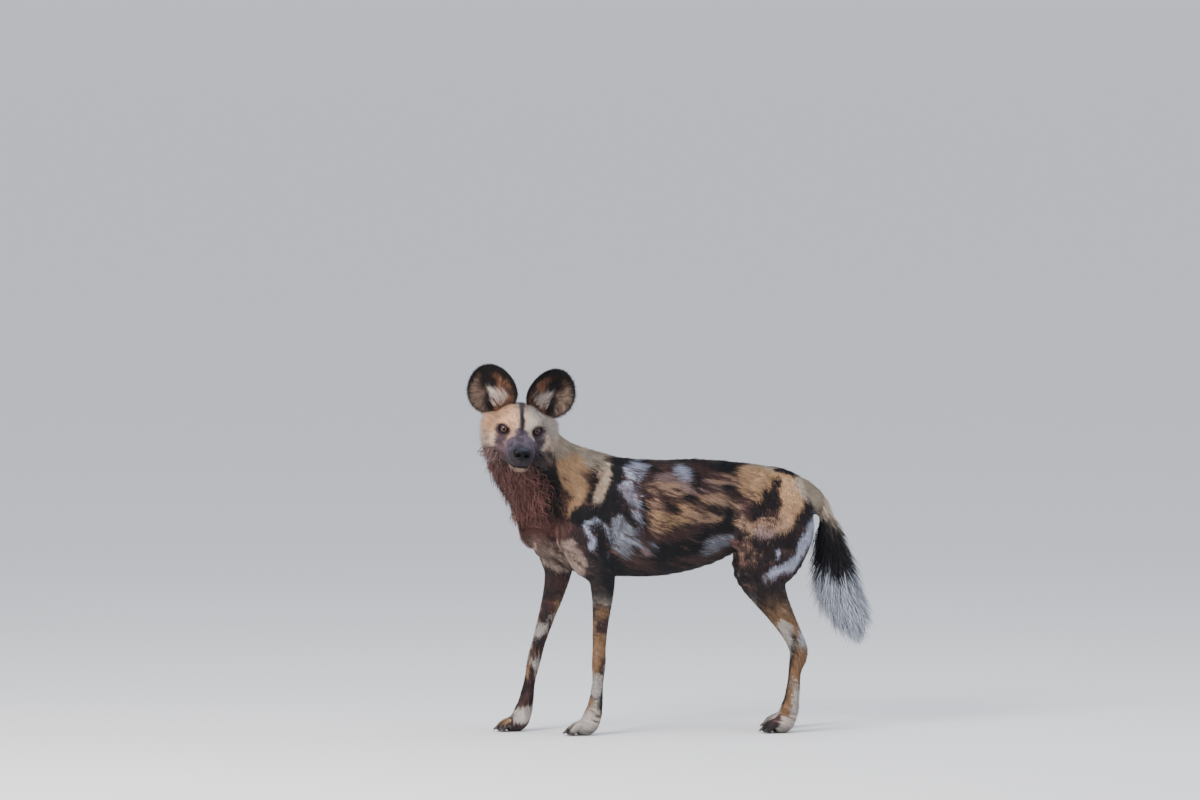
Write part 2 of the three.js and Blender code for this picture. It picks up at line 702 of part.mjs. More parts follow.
function at(x, y, z) {
  return new THREE.Vector3(x, y, z).multiplyScalar(bodyUnit);
}

// The head's place on the body, and its turn, nod and tilt.
const HEAD_AT = at(-365, -160, 753);
const HEAD_TURN = 86.6;
const HEAD_NOD = 12;
const HEAD_TILT = 4.5;
function headMatrix() {
  const turn = THREE.MathUtils.degToRad(180 + HEAD_TURN);
  const nod = THREE.MathUtils.degToRad(HEAD_NOD);
  const tilt = THREE.MathUtils.degToRad(HEAD_TILT);
  const made = new THREE.Matrix4().makeRotationZ(turn);
  made.multiply(new THREE.Matrix4().makeRotationY(nod));
  made.multiply(new THREE.Matrix4().makeRotationX(-tilt));
  return made.setPosition(HEAD_AT);
}

function build() {
  const dog = new THREE.Group();
  const wide = 2000;
  const ahead = aheadOfCut(0);
  const trunkGrown = trunkSkin(GAP).subtract(ahead);
  const neckGrown = neckSkin(GAP);
  const bodyGrown = trunkGrown.add(neckGrown.intersect(aheadOfCut(-5 * GAP)));
  dog.add(node("torso", largest(without(trunkSkin(0), ahead)), coat.tawny));

  const legs = [
    ["foreleg_left", FORELEG_LEFT, -1, 12, 15],
    ["foreleg_right", FORELEG_RIGHT, 1, 12, 15],
    ["hindleg_left", HINDLEG_LEFT, -1, 14, 16],
    ["hindleg_right", HINDLEG_RIGHT, 1, 14, 16],
  ];
  const legsGrown = [];
  for (const [name, stations, side, sides, rings] of legs) {
    const [footX, footY] = stations.at(-1);
    const paw = pawSolid(footX * bodyUnit, footY * side * bodyUnit);
    const ankle = 46 * bodyUnit;
    const above = solidOf(box([-wide, -wide, ankle], [wide, wide, wide]));
    const below = solidOf(box([-wide, -wide, -1], [wide, wide, ankle + GAP]));
    const leg = largest(without(legSolid(stations, side, sides, rings), bodyGrown, below));
    const foot = largest(without(paw, above));
    const [x, y, z] = stations[1];
    dog.add(node(name, leg, coat.dark, at(x, y * side, z)));
    dog.add(node(name.replace("leg", "paw"), foot, coat.dark, at(footX, footY * side, 0)));
    legsGrown.push(legSolid(stations, side, sides, rings, GAP));
  }

  const wholeHead = headSkin(0);
  const headGrown = headSkin(GAP);
  const eyes = [1, -1].map((side) => ball(EYE_RADIUS * headUnit, eyeCentre(side), 14));
  const sockets = [1, -1].map((side) => ball((EYE_RADIUS + 2 * GAP) * headUnit, eyeCentre(side), 14));
  const lids = [1, -1].map((side) => ball((EYE_RADIUS + LID_THICKNESS) * headUnit, eyeCentre(side), 16));
  const slits = [1, -1].map(lidSlit);
  const nostrils = [1, -1].flatMap(nostril);
  const fullHead = without(joined([wholeHead, ...lids]), ...slits, ...sockets, noseSkin(GAP));
  const nose = largest(without(noseSkin(0), ...nostrils));
  const jaw = largest(fullHead.intersect(jawRegion(0)));
  const skull = largest(without(fullHead, jawRegion(GAP * 2)));
  const neckFromHead = inPlace(neckGrown, headMatrix().invert());
  const head = new THREE.Group();
  head.applyMatrix4(headMatrix());
  head.add(node("head", skull, coat.face));
  head.add(node("jaw", jaw, coat.face));
  head.add(node("nose", nose, coat.nose));
  [1, -1].forEach((side, i) => {
    const word = side > 0 ? "left" : "right";
    head.add(node(`eye_${word}`, eyes[i], coat.eye, eyeCentre(side)));
    const ear = without(inPlace(earSolid(), earMatrix(side)), headGrown, neckFromHead);
    head.add(node(`ear_${word}`, largest(ear), coat.ear));
  });
  dog.add(head);

  const headInPlace = inPlace(headGrown, headMatrix());
  const behindCut = solidOf(box([-wide, -wide, -wide], [wide, wide, wide])).subtract(aheadOfCut(GAP));
  const ruff = without(joined(ruffLocks()), trunkGrown, ...legsGrown);
  const neck = largest(without(neckSkin(0).subtract(behindCut).add(ruff), headInPlace));
  dog.add(node("neck", neck, coat.throat, at(-290, -12, 612)));

  const tailTop = tailPlace(0, 0, TAIL_TIP_TOP)[2];
  const upper = solidOf(box([-wide, -wide, tailTop], [wide, wide, wide]));
  const lower = solidOf(box([-wide, -wide, -wide], [wide, wide, tailTop + GAP]));
  const brush = brushLocks();
  const locksOf = (low) => brush.filter((one) => one.low === low).map((one) => one.solid);
  const tail = without(joined([tailSkin(), ...locksOf(false)]), lower, trunkGrown, ...legsGrown);
  const tip = without(joined([tailSkin(), ...locksOf(true)]), upper);
  dog.add(node("tail", largest(tail), coat.dark, tailRoot));
  dog.add(node("tail_tip", largest(tip), coat.pale, new THREE.Vector3(...tailPlace(452, 0, TAIL_TIP_TOP))));
  return dog;
}

// The origin is under the middle of the whole animal, on the floor.
const dog = build();
const extent = new THREE.Box3().setFromObject(dog, true);
dog.position.set(-(extent.min.x + extent.max.x) / 2, -(extent.min.y + extent.max.y) / 2, -extent.min.z);

const part = new THREE.Group();
part.add(dog);
export default part;
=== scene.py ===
"""African wild dog: one skin, its coat of fur tufts, eyes, lids, nose, ears and claws.

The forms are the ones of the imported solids, written again as distance fields in millimetres in
the dog's own working frame, meshed as one seamless skin, and dressed with tufts of solid mesh.
"""
import logging
import math
from dataclasses import dataclass, field
from enum import Enum
from typing import Callable, Sequence

import bpy
import numpy as np
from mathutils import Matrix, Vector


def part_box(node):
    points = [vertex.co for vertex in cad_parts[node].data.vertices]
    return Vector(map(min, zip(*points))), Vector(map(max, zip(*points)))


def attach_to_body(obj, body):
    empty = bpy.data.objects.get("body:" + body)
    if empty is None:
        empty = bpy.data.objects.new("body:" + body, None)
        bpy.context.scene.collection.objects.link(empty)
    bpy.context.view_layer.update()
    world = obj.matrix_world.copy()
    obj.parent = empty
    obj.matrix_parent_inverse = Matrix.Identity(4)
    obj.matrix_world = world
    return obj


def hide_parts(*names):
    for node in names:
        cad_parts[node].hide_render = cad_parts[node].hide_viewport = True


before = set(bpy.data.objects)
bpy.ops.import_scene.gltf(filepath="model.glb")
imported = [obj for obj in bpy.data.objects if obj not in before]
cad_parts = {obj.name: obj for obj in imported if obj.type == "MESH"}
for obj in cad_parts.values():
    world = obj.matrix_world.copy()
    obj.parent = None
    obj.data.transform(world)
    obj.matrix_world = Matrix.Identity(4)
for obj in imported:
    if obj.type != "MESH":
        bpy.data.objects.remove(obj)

import openvdb
from mathutils import Matrix, Vector

log = logging.getLogger("wild_dog")
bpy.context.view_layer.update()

Array = np.ndarray
Field = Callable[[Array], Array]

UP = np.array([0.0, 0.0, 1.0])
TAILWARD = np.array([1.0, 0.0, 0.0])
ACROSS = np.array([0.0, 1.0, 0.0])
FAR = 60.0
FLOOR_CLEAR = 0.2
ROOT_DEPTH = 0.8


def unit(v: Array) -> Array:
    """Scale vectors to length one.

    Args:
        v: one vector, or an array with vectors in its last axis.

    Returns:
        The same directions with length one.
    """
    return v / np.maximum(np.linalg.norm(v, axis=-1, keepdims=True), 1e-9)


def ramp(low: float, high: float, x: Array) -> Array:
    """Rise smoothly from 0 at low to 1 at high (or fall, where low is the larger)."""
    t = np.clip((x - low) / (high - low), 0.0, 1.0)
    return t * t * (3.0 - 2.0 * t)


def spline(points: Sequence[Sequence[float]], count: int, centripetal: bool = True) -> Array:
    """Sample a Catmull-Rom curve through points at equal steps of its parameter.

    Args:
        points: the points it passes through.
        count: the number of steps; one more sample than that comes back.
        centripetal: whether the knots follow the chord lengths.

    Returns:
        The samples, one per row.
    """
    p = np.asarray(points, float)
    ends = np.vstack([2 * p[0] - p[1], p, 2 * p[-1] - p[-2]])
    out = []
    for i in range(count + 1):
        t = i / count * (len(p) - 1)
        k = min(int(t), len(p) - 2)
        w = t - k
        a, b, c, d = ends[k : k + 4]
        if centripetal:
            steps = [max(float(((q - r) ** 2).sum()) ** 0.25, 1e-4) for q, r in ((a, b), (b, c), (c, d))]
            s0, s1, s2 = steps
            m0 = ((b - a) / s0 - (c - a) / (s0 + s1) + (c - b) / s1) * s1
            m1 = ((c - b) / s1 - (d - b) / (s1 + s2) + (d - c) / s2) * s1
        else:
            m0, m1 = 0.5 * (c - a), 0.5 * (d - b)
        out.append(b + m0 * w + (3 * (c - b) - 2 * m0 - m1) * w**2 + (2 * (b - c) + m0 + m1) * w**3)
    return np.array(out)


def dot(a: Array, b: Array) -> Array:
    """The scalar product of each row of one with the same row of the other."""
    return np.einsum("ij,ij->i", a, b)


def laid(way: Array, normal: Array) -> Array:
    """Directions turned so that they lie along the skin."""
    return unit(way - normal * dot(way, normal)[:, None])


def blend(a: Array, b: Array, soft: float) -> Array:
    """Join two fields so that they flow into each other over a distance."""
    h = np.maximum(soft - np.abs(a - b), 0.0) / soft
    return np.minimum(a, b) - h * h * soft / 4.0


def press(a: Array, hollow: Array, soft: float) -> Array:
    """Press a rounded hollow into a field."""
    h = np.maximum(soft - np.abs(a + hollow), 0.0) / soft
    return np.maximum(a, -hollow) + h * h * soft / 4.0


def hashed(cells: Array, seed: int) -> Array:
    """Give each whole-number cell a random value from 0 to 1.

    Args:
        cells: whole-number cells, one per row.
        seed: picks another set of values.

    Returns:
        One value per cell.
    """
    c = cells.astype(np.int64)
    h = c[..., 0] * 374761393 + c[..., 1] * 668265263 + c[..., 2] * 2147483647 + seed * 144665
    h = (h ^ (h >> 13)) * 1274126177
    h = h ^ (h >> 16)
    return (h & 0xFFFFFF).astype(float) / 0xFFFFFF


def noise(p: Array, size: float, seed: int = 0) -> Array:
    """Smooth value noise from -1 to 1.

    Args:
        p: points, one per row, in millimetres.
        size: the size of one wave in millimetres.
        seed: which noise.

    Returns:
        One value per point.
    """
    q = p / size + 100.0
    base = np.floor(q)
    w = q - base
    w = w * w * (3 - 2 * w)
    out = np.zeros(len(p))
    for dx in (0, 1):
        for dy in (0, 1):
            for dz in (0, 1):
                share = (
                    (w[:, 0] if dx else 1 - w[:, 0])
                    * (w[:, 1] if dy else 1 - w[:, 1])
                    * (w[:, 2] if dz else 1 - w[:, 2])
                )
                out += share * hashed(base + np.array([dx, dy, dz]), seed)
    return out * 2 - 1


def srgb(code: int) -> Array:
    """Turn a hex colour into linear values."""
    c = np.array([(code >> 16) & 255, (code >> 8) & 255, code & 255]) / 255.0
    return np.where(c <= 0.04045, c / 12.92, ((c + 0.055) / 1.055) ** 2.4)


def mix(a: Array | int, b: Array | int, share: Array) -> Array:
    """Mix colours by a share per point.

    Args:
        a: colours at share 0.
        b: colours at share 1.
        share: one number or one per point.

    Returns:
        The mixed colours.
    """
    a, b = (srgb(c) if isinstance(c, int) else c for c in (a, b))
    share = np.asarray(share)
    if share.ndim:
        share = share[:, None]
    return a * (1 - share) + b * share


def to_line(q: Array, line: Array) -> Array:
    """Distance of flat points from a line of points.

    Args:
        q: flat points.
        line: the corners of the line.

    Returns:
        One distance per point.
    """
    best = np.full(len(q), 1e9)
    for a, b in zip(line[:-1], line[1:]):
        step = b - a
        t = np.clip(((q - a) @ step) / max(float(step @ step), 1e-9), 0, 1)
        best = np.minimum(best, np.linalg.norm(q - a - t[:, None] * step, axis=1))
    return best


def facing_out(points: Array, quads: Array) -> Array:
    """Order the corners of a closed form's quads so that they face outwards.

    Args:
        points: the corners of the form.
        quads: corner numbers, four per row.

    Returns:
        The quads, turned round where they faced inwards.
    """
    a, b, c, d = (points[quads[:, k]] for k in range(4))
    volume = np.einsum("ij,ij->", a, np.cross(b, c)) + np.einsum("ij,ij->", a, np.cross(c, d))
    return quads if volume > 0 else quads[:, ::-1]


def strip(one: Array, two: Array, flip: bool = False) -> list[Array]:
    """Triangles between two closed rings.

    Args:
        one: point numbers of the first ring.
        two: point numbers of the second ring.
        flip: whether they face the other way.

    Returns:
        Two arrays of triangles.
    """
    next_one, next_two = np.roll(one, -1), np.roll(two, -1)
    if flip:
        return [np.stack([one, next_one, two], -1), np.stack([next_one, next_two, two], -1)]
    return [np.stack([one, two, next_one], -1), np.stack([next_one, two, next_two], -1)]


def fan(middle: int, ring: Array, flip: bool = False) -> Array:
    """Triangles from a closed ring to its middle point, facing the other way with flip."""
    corners = [np.roll(ring, -1), ring] if flip else [ring, np.roll(ring, -1)]
    return np.stack([np.full(len(ring), middle), *corners], -1)


@dataclass
class Limb:
    """A run of oval sections along a curve.

    Attributes:
        stations: rows of x, y, z, half size along wide, half size square to it.
        wide: the direction of the first half size.
        power: the exponent of the section's outline; 2 is an oval.
        steps: samples between two stations.
    """

    stations: Sequence[Sequence[float]]
    wide: Array
    power: float = 2.0
    steps: int = 4

    def __post_init__(self) -> None:
        """Sample the stations into straight pieces."""
        s = np.asarray(self.stations, float)
        count = (len(s) - 1) * self.steps
        places = spline(s[:, :3], count)
        self.sizes = spline(s[:, 3:5], count, centripetal=False)
        self.a = places[:-1]
        self.b = places[1:]
        step = self.b - self.a
        self.length = np.linalg.norm(step, axis=1)
        self.along = step / self.length[:, None]
        self.wide_axis = unit(self.wide - self.along * (self.along @ self.wide)[:, None])
        self.deep_axis = np.cross(self.along, self.wide_axis)

    def piece(self, i: int, p: Array) -> Array:
        """Distance of points from one straight piece.

        Args:
            i: number of the piece.
            p: points, one per row.

        Returns:
            Distances, negative inside.
        """
        q = p - self.a[i]
        run = q @ self.along[i]
        t = np.clip(run / self.length[i], 0, 1)
        wide = self.sizes[i, 0] + (self.sizes[i + 1, 0] - self.sizes[i, 0]) * t
        deep = self.sizes[i, 1] + (self.sizes[i + 1, 1] - self.sizes[i, 1]) * t
        over = np.abs(run - t * self.length[i])
        u = np.abs(q @ self.wide_axis[i])
        v = np.abs(q @ self.deep_axis[i])
        least = np.minimum(wide, deep)
        if self.power == 2.0:
            share = np.sqrt((u / wide) ** 2 + (v / deep) ** 2 + (over / least) ** 2)
        else:
            n = self.power
            share = ((u / wide) ** n + (v / deep) ** n + (over / least) ** n) ** (1 / n)
        far = np.sqrt(u * u + v * v + over * over)
        return np.where(share < 1e-6, -least, far * (1 - 1 / np.maximum(share, 1e-6)))

    def __call__(self, p: Array) -> Array:
        """Distance of points from the whole limb, negative inside.

        Args:
            p: points, one per row.

        Returns:
            Distances, negative inside.
        """
        best = np.full(len(p), 1e9)
        for i in range(len(self.a)):
            best = np.minimum(best, self.piece(i, p))
        return best

    def nearest(self, p: Array) -> tuple[Array, Array, Array, Array]:
        """Where points lie along and around the limb.

        Args:
            p: points, one per row.

        Returns:
            Distance, share of the way along, turn about the limb, and its direction there.
        """
        best = np.full(len(p), 1e9)
        which = np.zeros(len(p), int)
        for i in range(len(self.a)):
            d = self.piece(i, p)
            closer = d < best
            best[closer] = d[closer]
            which[closer] = i
        q = p - self.a[which]
        run = dot(q, self.along[which])
        t = (which + np.clip(run / self.length[which], 0, 1)) / len(self.a)
        turn = np.arctan2(dot(q, self.deep_axis[which]), dot(q, self.wide_axis[which]))
        return best, t, turn, self.along[which]


def egg(p: Array, centre: Sequence[float], radii: Sequence[float]) -> Array:
    """Distance of points from an egg with its half sizes along the axes.

    Args:
        p: points, one per row.
        centre: the egg's middle.
        radii: half sizes along the axes.

    Returns:
        Distances, negative inside.
    """
    q = p - np.asarray(centre, float)
    r = np.asarray(radii, float)
    share = np.sqrt(((q / r) ** 2).sum(-1))
    far = np.sqrt((q * q).sum(-1))
    return np.where(share < 1e-6, -r.min(), far * (1 - 1 / np.maximum(share, 1e-6)))


class Region(Enum):
    """The parts of the skin that have a spine, a lie of the hair and a tile of their own."""

    TRUNK = 0
    NECK = 1
    FORELEG_LEFT = 2
    FORELEG_RIGHT = 3
    HINDLEG_LEFT = 4
    HINDLEG_RIGHT = 5
    TAIL = 6
    HEAD = 7


TILES = {
    Region.TRUNK: (0.0, 0.5, 0.5, 1.0),
    Region.NECK: (0.5, 0.75, 1.0, 1.0),
    Region.HEAD: (0.5, 0.5, 1.0, 0.75),
    Region.TAIL: (0.5, 0.25, 1.0, 0.5),
    Region.FORELEG_LEFT: (0.0, 0.25, 0.25, 0.5),
    Region.FORELEG_RIGHT: (0.25, 0.25, 0.5, 0.5),
    Region.HINDLEG_LEFT: (0.0, 0.0, 0.25, 0.25),
    Region.HINDLEG_RIGHT: (0.25, 0.0, 0.5, 0.25),
}
EAR_TILE = (0.5, 0.0, 1.0, 0.25)
TILE_MARGIN = 0.01
PATCH = 0.003


def in_tile(tile: tuple[float, float, float, float], t: Array, turn: Array) -> Array:
    """Lay a place along and around a form into its tile of the unwrap.

    Args:
        tile: left, bottom, width and height.
        t: share along the form.
        turn: angle round it.

    Returns:
        Places on the unwrap.
    """
    x0, y0, x1, y1 = tile
    u = x0 + TILE_MARGIN + np.clip(t, 0, 1) * (x1 - x0 - 2 * TILE_MARGIN)
    v = y0 + TILE_MARGIN + (turn / (2 * math.pi) + 0.5) % 1.0 * (y1 - y0 - 2 * TILE_MARGIN)
    return np.stack([u, v], -1)


@dataclass
class HeadFrame:
    """The head's own frame: +x to the nose, +y to the dog's left, +z up, between the eyes.

    Attributes:
        place: the origin in the working frame.
        turn: degrees from straight ahead round to the left.
        nod: degrees the nose points down.
        tilt: degrees the left side hangs lower.
    """

    place: Array = field(default_factory=lambda: np.array([-365.0, -160.0, 753.0]))
    turn: float = 86.6
    nod: float = 12.0
    tilt: float = 4.5

    def __post_init__(self) -> None:
        """Work out the frame's axes."""
        a, b, c = (math.radians(x) for x in (180 + self.turn, self.nod, -self.tilt))
        rz = np.array([[math.cos(a), -math.sin(a), 0], [math.sin(a), math.cos(a), 0], [0, 0, 1]])
        ry = np.array([[math.cos(b), 0, math.sin(b)], [0, 1, 0], [-math.sin(b), 0, math.cos(b)]])
        rx = np.array([[1, 0, 0], [0, math.cos(c), -math.sin(c)], [0, math.sin(c), math.cos(c)]])
        self.axes = rz @ ry @ rx

    def world(self, p: Array) -> Array:
        """Points of the head's frame in the working frame."""
        return np.asarray(p) @ self.axes.T + self.place

    def way(self, v: Array) -> Array:
        """Directions of the head's frame in the working frame."""
        return np.asarray(v) @ self.axes.T

    def local(self, p: Array) -> Array:
        """Points of the working frame in the head's frame."""
        return (p - self.place) @ self.axes


@dataclass
class Anatomy:
    """Stations and sizes of the whole animal, as in the solids, in millimetres."""

    head: HeadFrame = field(default_factory=HeadFrame)
    eye_at: tuple[float, float, float] = (-8.0, 38.0, -1.0)
    eye_radius: float = 11.5
    eye_outward: float = 16.0
    hind_stride: float = 26.0
    trunk_rows: tuple = (
        (-318, 520, 452, 30), (-292, 585, 424, 48), (-232, 640, 398, 62), (-160, 668, 384, 74),
        (-86, 674, 381, 84), (-5, 670, 382, 95), (77, 672, 400, 98), (146, 668, 432, 90),
        (201, 662, 462, 79), (259, 651, 480, 70), (317, 632, 498, 58), (358, 604, 522, 42),
        (382, 578, 540, 24),
    )
    neck_rows: tuple = (
        (-150, 0, 556, 62, 108), (-216, -2, 586, 66, 118), (-280, -10, 630, 69, 104),
        (-322, -29, 676, 74, 92), (-345, -57, 716, 76, 82), (-352, -84, 738, 70, 62),
    )
    foreleg_left: tuple = (
        (-104, 50, 628, 40, 24), (-150, 64, 560, 58, 29), (-196, 64, 490, 60, 34), (-190, 68, 438, 52, 32),
        (-158, 70, 398, 40, 27), (-152, 70, 350, 32, 24), (-156, 69, 285, 25, 20), (-160, 68, 220, 21, 18),
        (-161, 67, 172, 21, 20), (-164, 66, 120, 17, 18), (-172, 65, 62, 19, 22), (-184, 65, 30, 22, 25),
    )
    foreleg_right: tuple = (
        (-110, 51, 628, 40, 24), (-166, 64, 560, 58, 29), (-232, 64, 490, 60, 34), (-244, 68, 440, 52, 32),
        (-242, 71, 398, 40, 27), (-250, 71, 350, 32, 24), (-270, 70, 285, 25, 20), (-290, 69, 220, 21, 18),
        (-303, 68, 172, 21, 20), (-314, 66, 120, 17, 18), (-326, 65, 62, 19, 22), (-338, 65, 30, 22, 25),
    )
    hindleg: tuple = (
        (300, 40, 618, 50, 26), (284, 54, 560, 88, 38), (274, 62, 500, 101, 42), (262, 68, 440, 88, 40),
        (246, 71, 390, 66, 34), (262, 71, 338, 46, 28), (294, 69, 282, 33, 22), (322, 67, 232, 27, 18),
        (335, 66, 196, 25, 18), (326, 66, 150, 18, 16), (320, 66, 100, 17, 17), (312, 66, 55, 19, 21),
        (300, 66, 28, 22, 25),
    )
    tail_rows: tuple = (
        (352, 0, 588, 22, 24), (386, 0, 566, 19, 20), (406, 0, 530, 16, 18), (418, 0, 483, 18, 18),
        (430, 0, 421, 26, 22), (442, 0, 360, 31, 25), (460, 0, 310, 29, 23), (470, 0, 286, 18, 16),
    )
    toes: tuple = ((-18.5, 0.84), (-7.0, 1.0), (7.0, 1.0), (18.5, 0.84))
    heel_rows: tuple = ((10, 0, 52, 19, 21), (4, 0, 34, 21, 23), (-8, 0, 20, 22, 25), (-20, 0, 17, 18, 24))
    # The head as a plain run, only for places on the unwrap.
    head_rows: tuple = (
        (-110, 0, 0, 50, 44), (-50, 0, -14, 84, 70), (10, 0, -28, 60, 50), (60, 0, -46, 40, 40),
        (104, 0, -48, 20, 26),
    )
    # Middles and half sizes of the head's eggs; those with a y stand on both sides.
    skull: tuple = ((-60, 0, 4), (58, 60, 50))
    forehead: tuple = ((-26, 0, 8), (42, 50, 36))
    cheek: tuple = ((-40, 46, -26), (44, 38, 44))
    temple: tuple = ((-58, 52, 2), (30, 22, 21))
    gullet: tuple = ((-48, 0, -48), (52, 54, 38))
    brow: tuple = ((-7, 33, 17), (19, 18, 13))
    eye_hollow: tuple = ((15, 46, -3), (20, 17, 14))
    muzzle_rows: tuple = (
        (-10, 0, -24, 44, 36), (30, 0, -31, 38, 35), (58, 0, -37, 36, 32), (78, 0, -42, 32, 27),
    )
    jaw_rows: tuple = (
        (-30, 0, -60, 40, 24), (20, 0, -68, 33, 18), (58, 0, -73, 27, 14), (82, 0, -75, 21, 12),
    )
    head_soft: float = 22.0

    def __post_init__(self) -> None:
        """Build the limbs and place the feet."""
        trunk = [(x, 0, (top + low) / 2, half, (top - low) / 2) for x, top, low, half in self.trunk_rows]
        rows = len(self.hindleg)
        hind_right = [
            (x + self.hind_stride * i / rows, y, z, w, d) for i, (x, y, z, w, d) in enumerate(self.hindleg)
        ]

        def left(leg: Sequence) -> list:
            """The same leg on the dog's left."""
            return [(x, -y, z, w, d) for x, y, z, w, d in leg]

        self.limbs = {
            Region.TRUNK: Limb(trunk, ACROSS, power=2.2),
            Region.NECK: Limb(self.neck_rows, ACROSS),
            Region.FORELEG_LEFT: Limb(left(self.foreleg_left), TAILWARD),
            Region.FORELEG_RIGHT: Limb(self.foreleg_right, TAILWARD),
            Region.HINDLEG_LEFT: Limb(left(self.hindleg), TAILWARD),
            Region.HINDLEG_RIGHT: Limb(hind_right, TAILWARD),
            Region.TAIL: Limb(self.tail_rows, TAILWARD),
        }
        feet = (left(self.foreleg_left), self.foreleg_right, left(self.hindleg), hind_right)
        self.feet = [np.array([leg[-1][0], leg[-1][1], 0.0]) for leg in feet]
        self.head_run = Limb(self.head_rows, ACROSS)

    def eye_centre(self, side: int) -> Array:
        """The middle of one eyeball in the head's frame; side is 1 for the dog's left."""
        x, y, z = self.eye_at
        return np.array([x, y * side, z])

    def gaze(self, side: int) -> Array:
        """The way one eye looks, in the head's frame."""
        a = math.radians(self.eye_outward) * side
        return np.array([math.cos(a), math.sin(a), 0.0])

    def head_field(self, p: Array) -> Array:
        """The head's form in its own frame, hollows and mouth line included.

        Args:
            p: points in the head's frame.

        Returns:
            Distances, negative inside.
        """

        def form(kind: tuple, side: int = 1) -> Array:
            """One egg of the head, on one side."""
            (x, y, z), radii = kind
            return egg(p, (x, side * y, z), radii)

        d = form(self.skull)
        d = blend(d, form(self.forehead), self.head_soft)
        for side in (1, -1):
            d = blend(d, form(self.cheek, side), self.head_soft)
            d = blend(d, form(self.temple, side), self.head_soft)
        d = blend(d, form(self.gullet), self.head_soft)
        for side in (1, -1):
            d = blend(d, form(self.brow, side), self.head_soft)
        ahead = p[:, 0] > -75
        q = p[ahead]
        snout = blend(Limb(self.muzzle_rows, ACROSS, 2.5)(q), Limb(self.jaw_rows, ACROSS)(q), 8)
        d[ahead] = blend(d[ahead], snout, self.head_soft)
        for side in (1, -1):
            d = press(d, form(self.eye_hollow, side), 8)
            d = press(d, egg(p, self.eye_centre(side), [self.eye_radius + 0.6] * 3), 1.5)
        x, y, z = p[:, 0], p[:, 1], p[:, 2]
        line = self.mouth_line(x)
        open_share = ramp(18, 34, x)
        groove = np.exp(-(((z - line) / 1.8) ** 2))
        upper_lip = np.exp(-(((z - line - 6) / 4.0) ** 2))
        d += open_share * (2.8 * groove - 1.4 * upper_lip)
        philtrum = np.exp(-((y / 1.5) ** 2)) * ramp(86, 94, x)
        philtrum = philtrum * ramp(-72, -66, z) * ramp(-44, -50, z)
        d += 1.8 * philtrum
        d += 0.7 * ramp(35, 60, x) * np.exp(-((y / 3.5) ** 2)) * ramp(-24, -16, z)
        return d

    @staticmethod
    def mouth_line(x: Array) -> Array:
        """The height of the mouth's line at places along the head."""
        t = np.clip((x - 26) / 70, 0, 1.3)
        return -60 - 11.5 * np.sin(np.clip(t, 0, 1) * math.pi * 0.62) + 3.5 * np.clip(t - 0.5, 0, 1)

    def paw_field(self, p: Array) -> Array:
        """One paw about the middle of its heel, toes towards -x.

        Args:
            p: points about the foot.

        Returns:
            Distances, negative inside.
        """
        d = Limb(self.heel_rows, TAILWARD)(p)
        for offset, share in self.toes:
            rows = [
                (-18, offset * 0.85, 30, 8, 8),
                (-34 * share - 4, offset * 1.05, 22, 9, 9),
                (-51 * share, offset * 1.1, 10, 8.6, 8.5),
            ]
            d = blend(d, Limb(rows, ACROSS)(p), 1.8)
        return np.maximum(d, -p[:, 2])


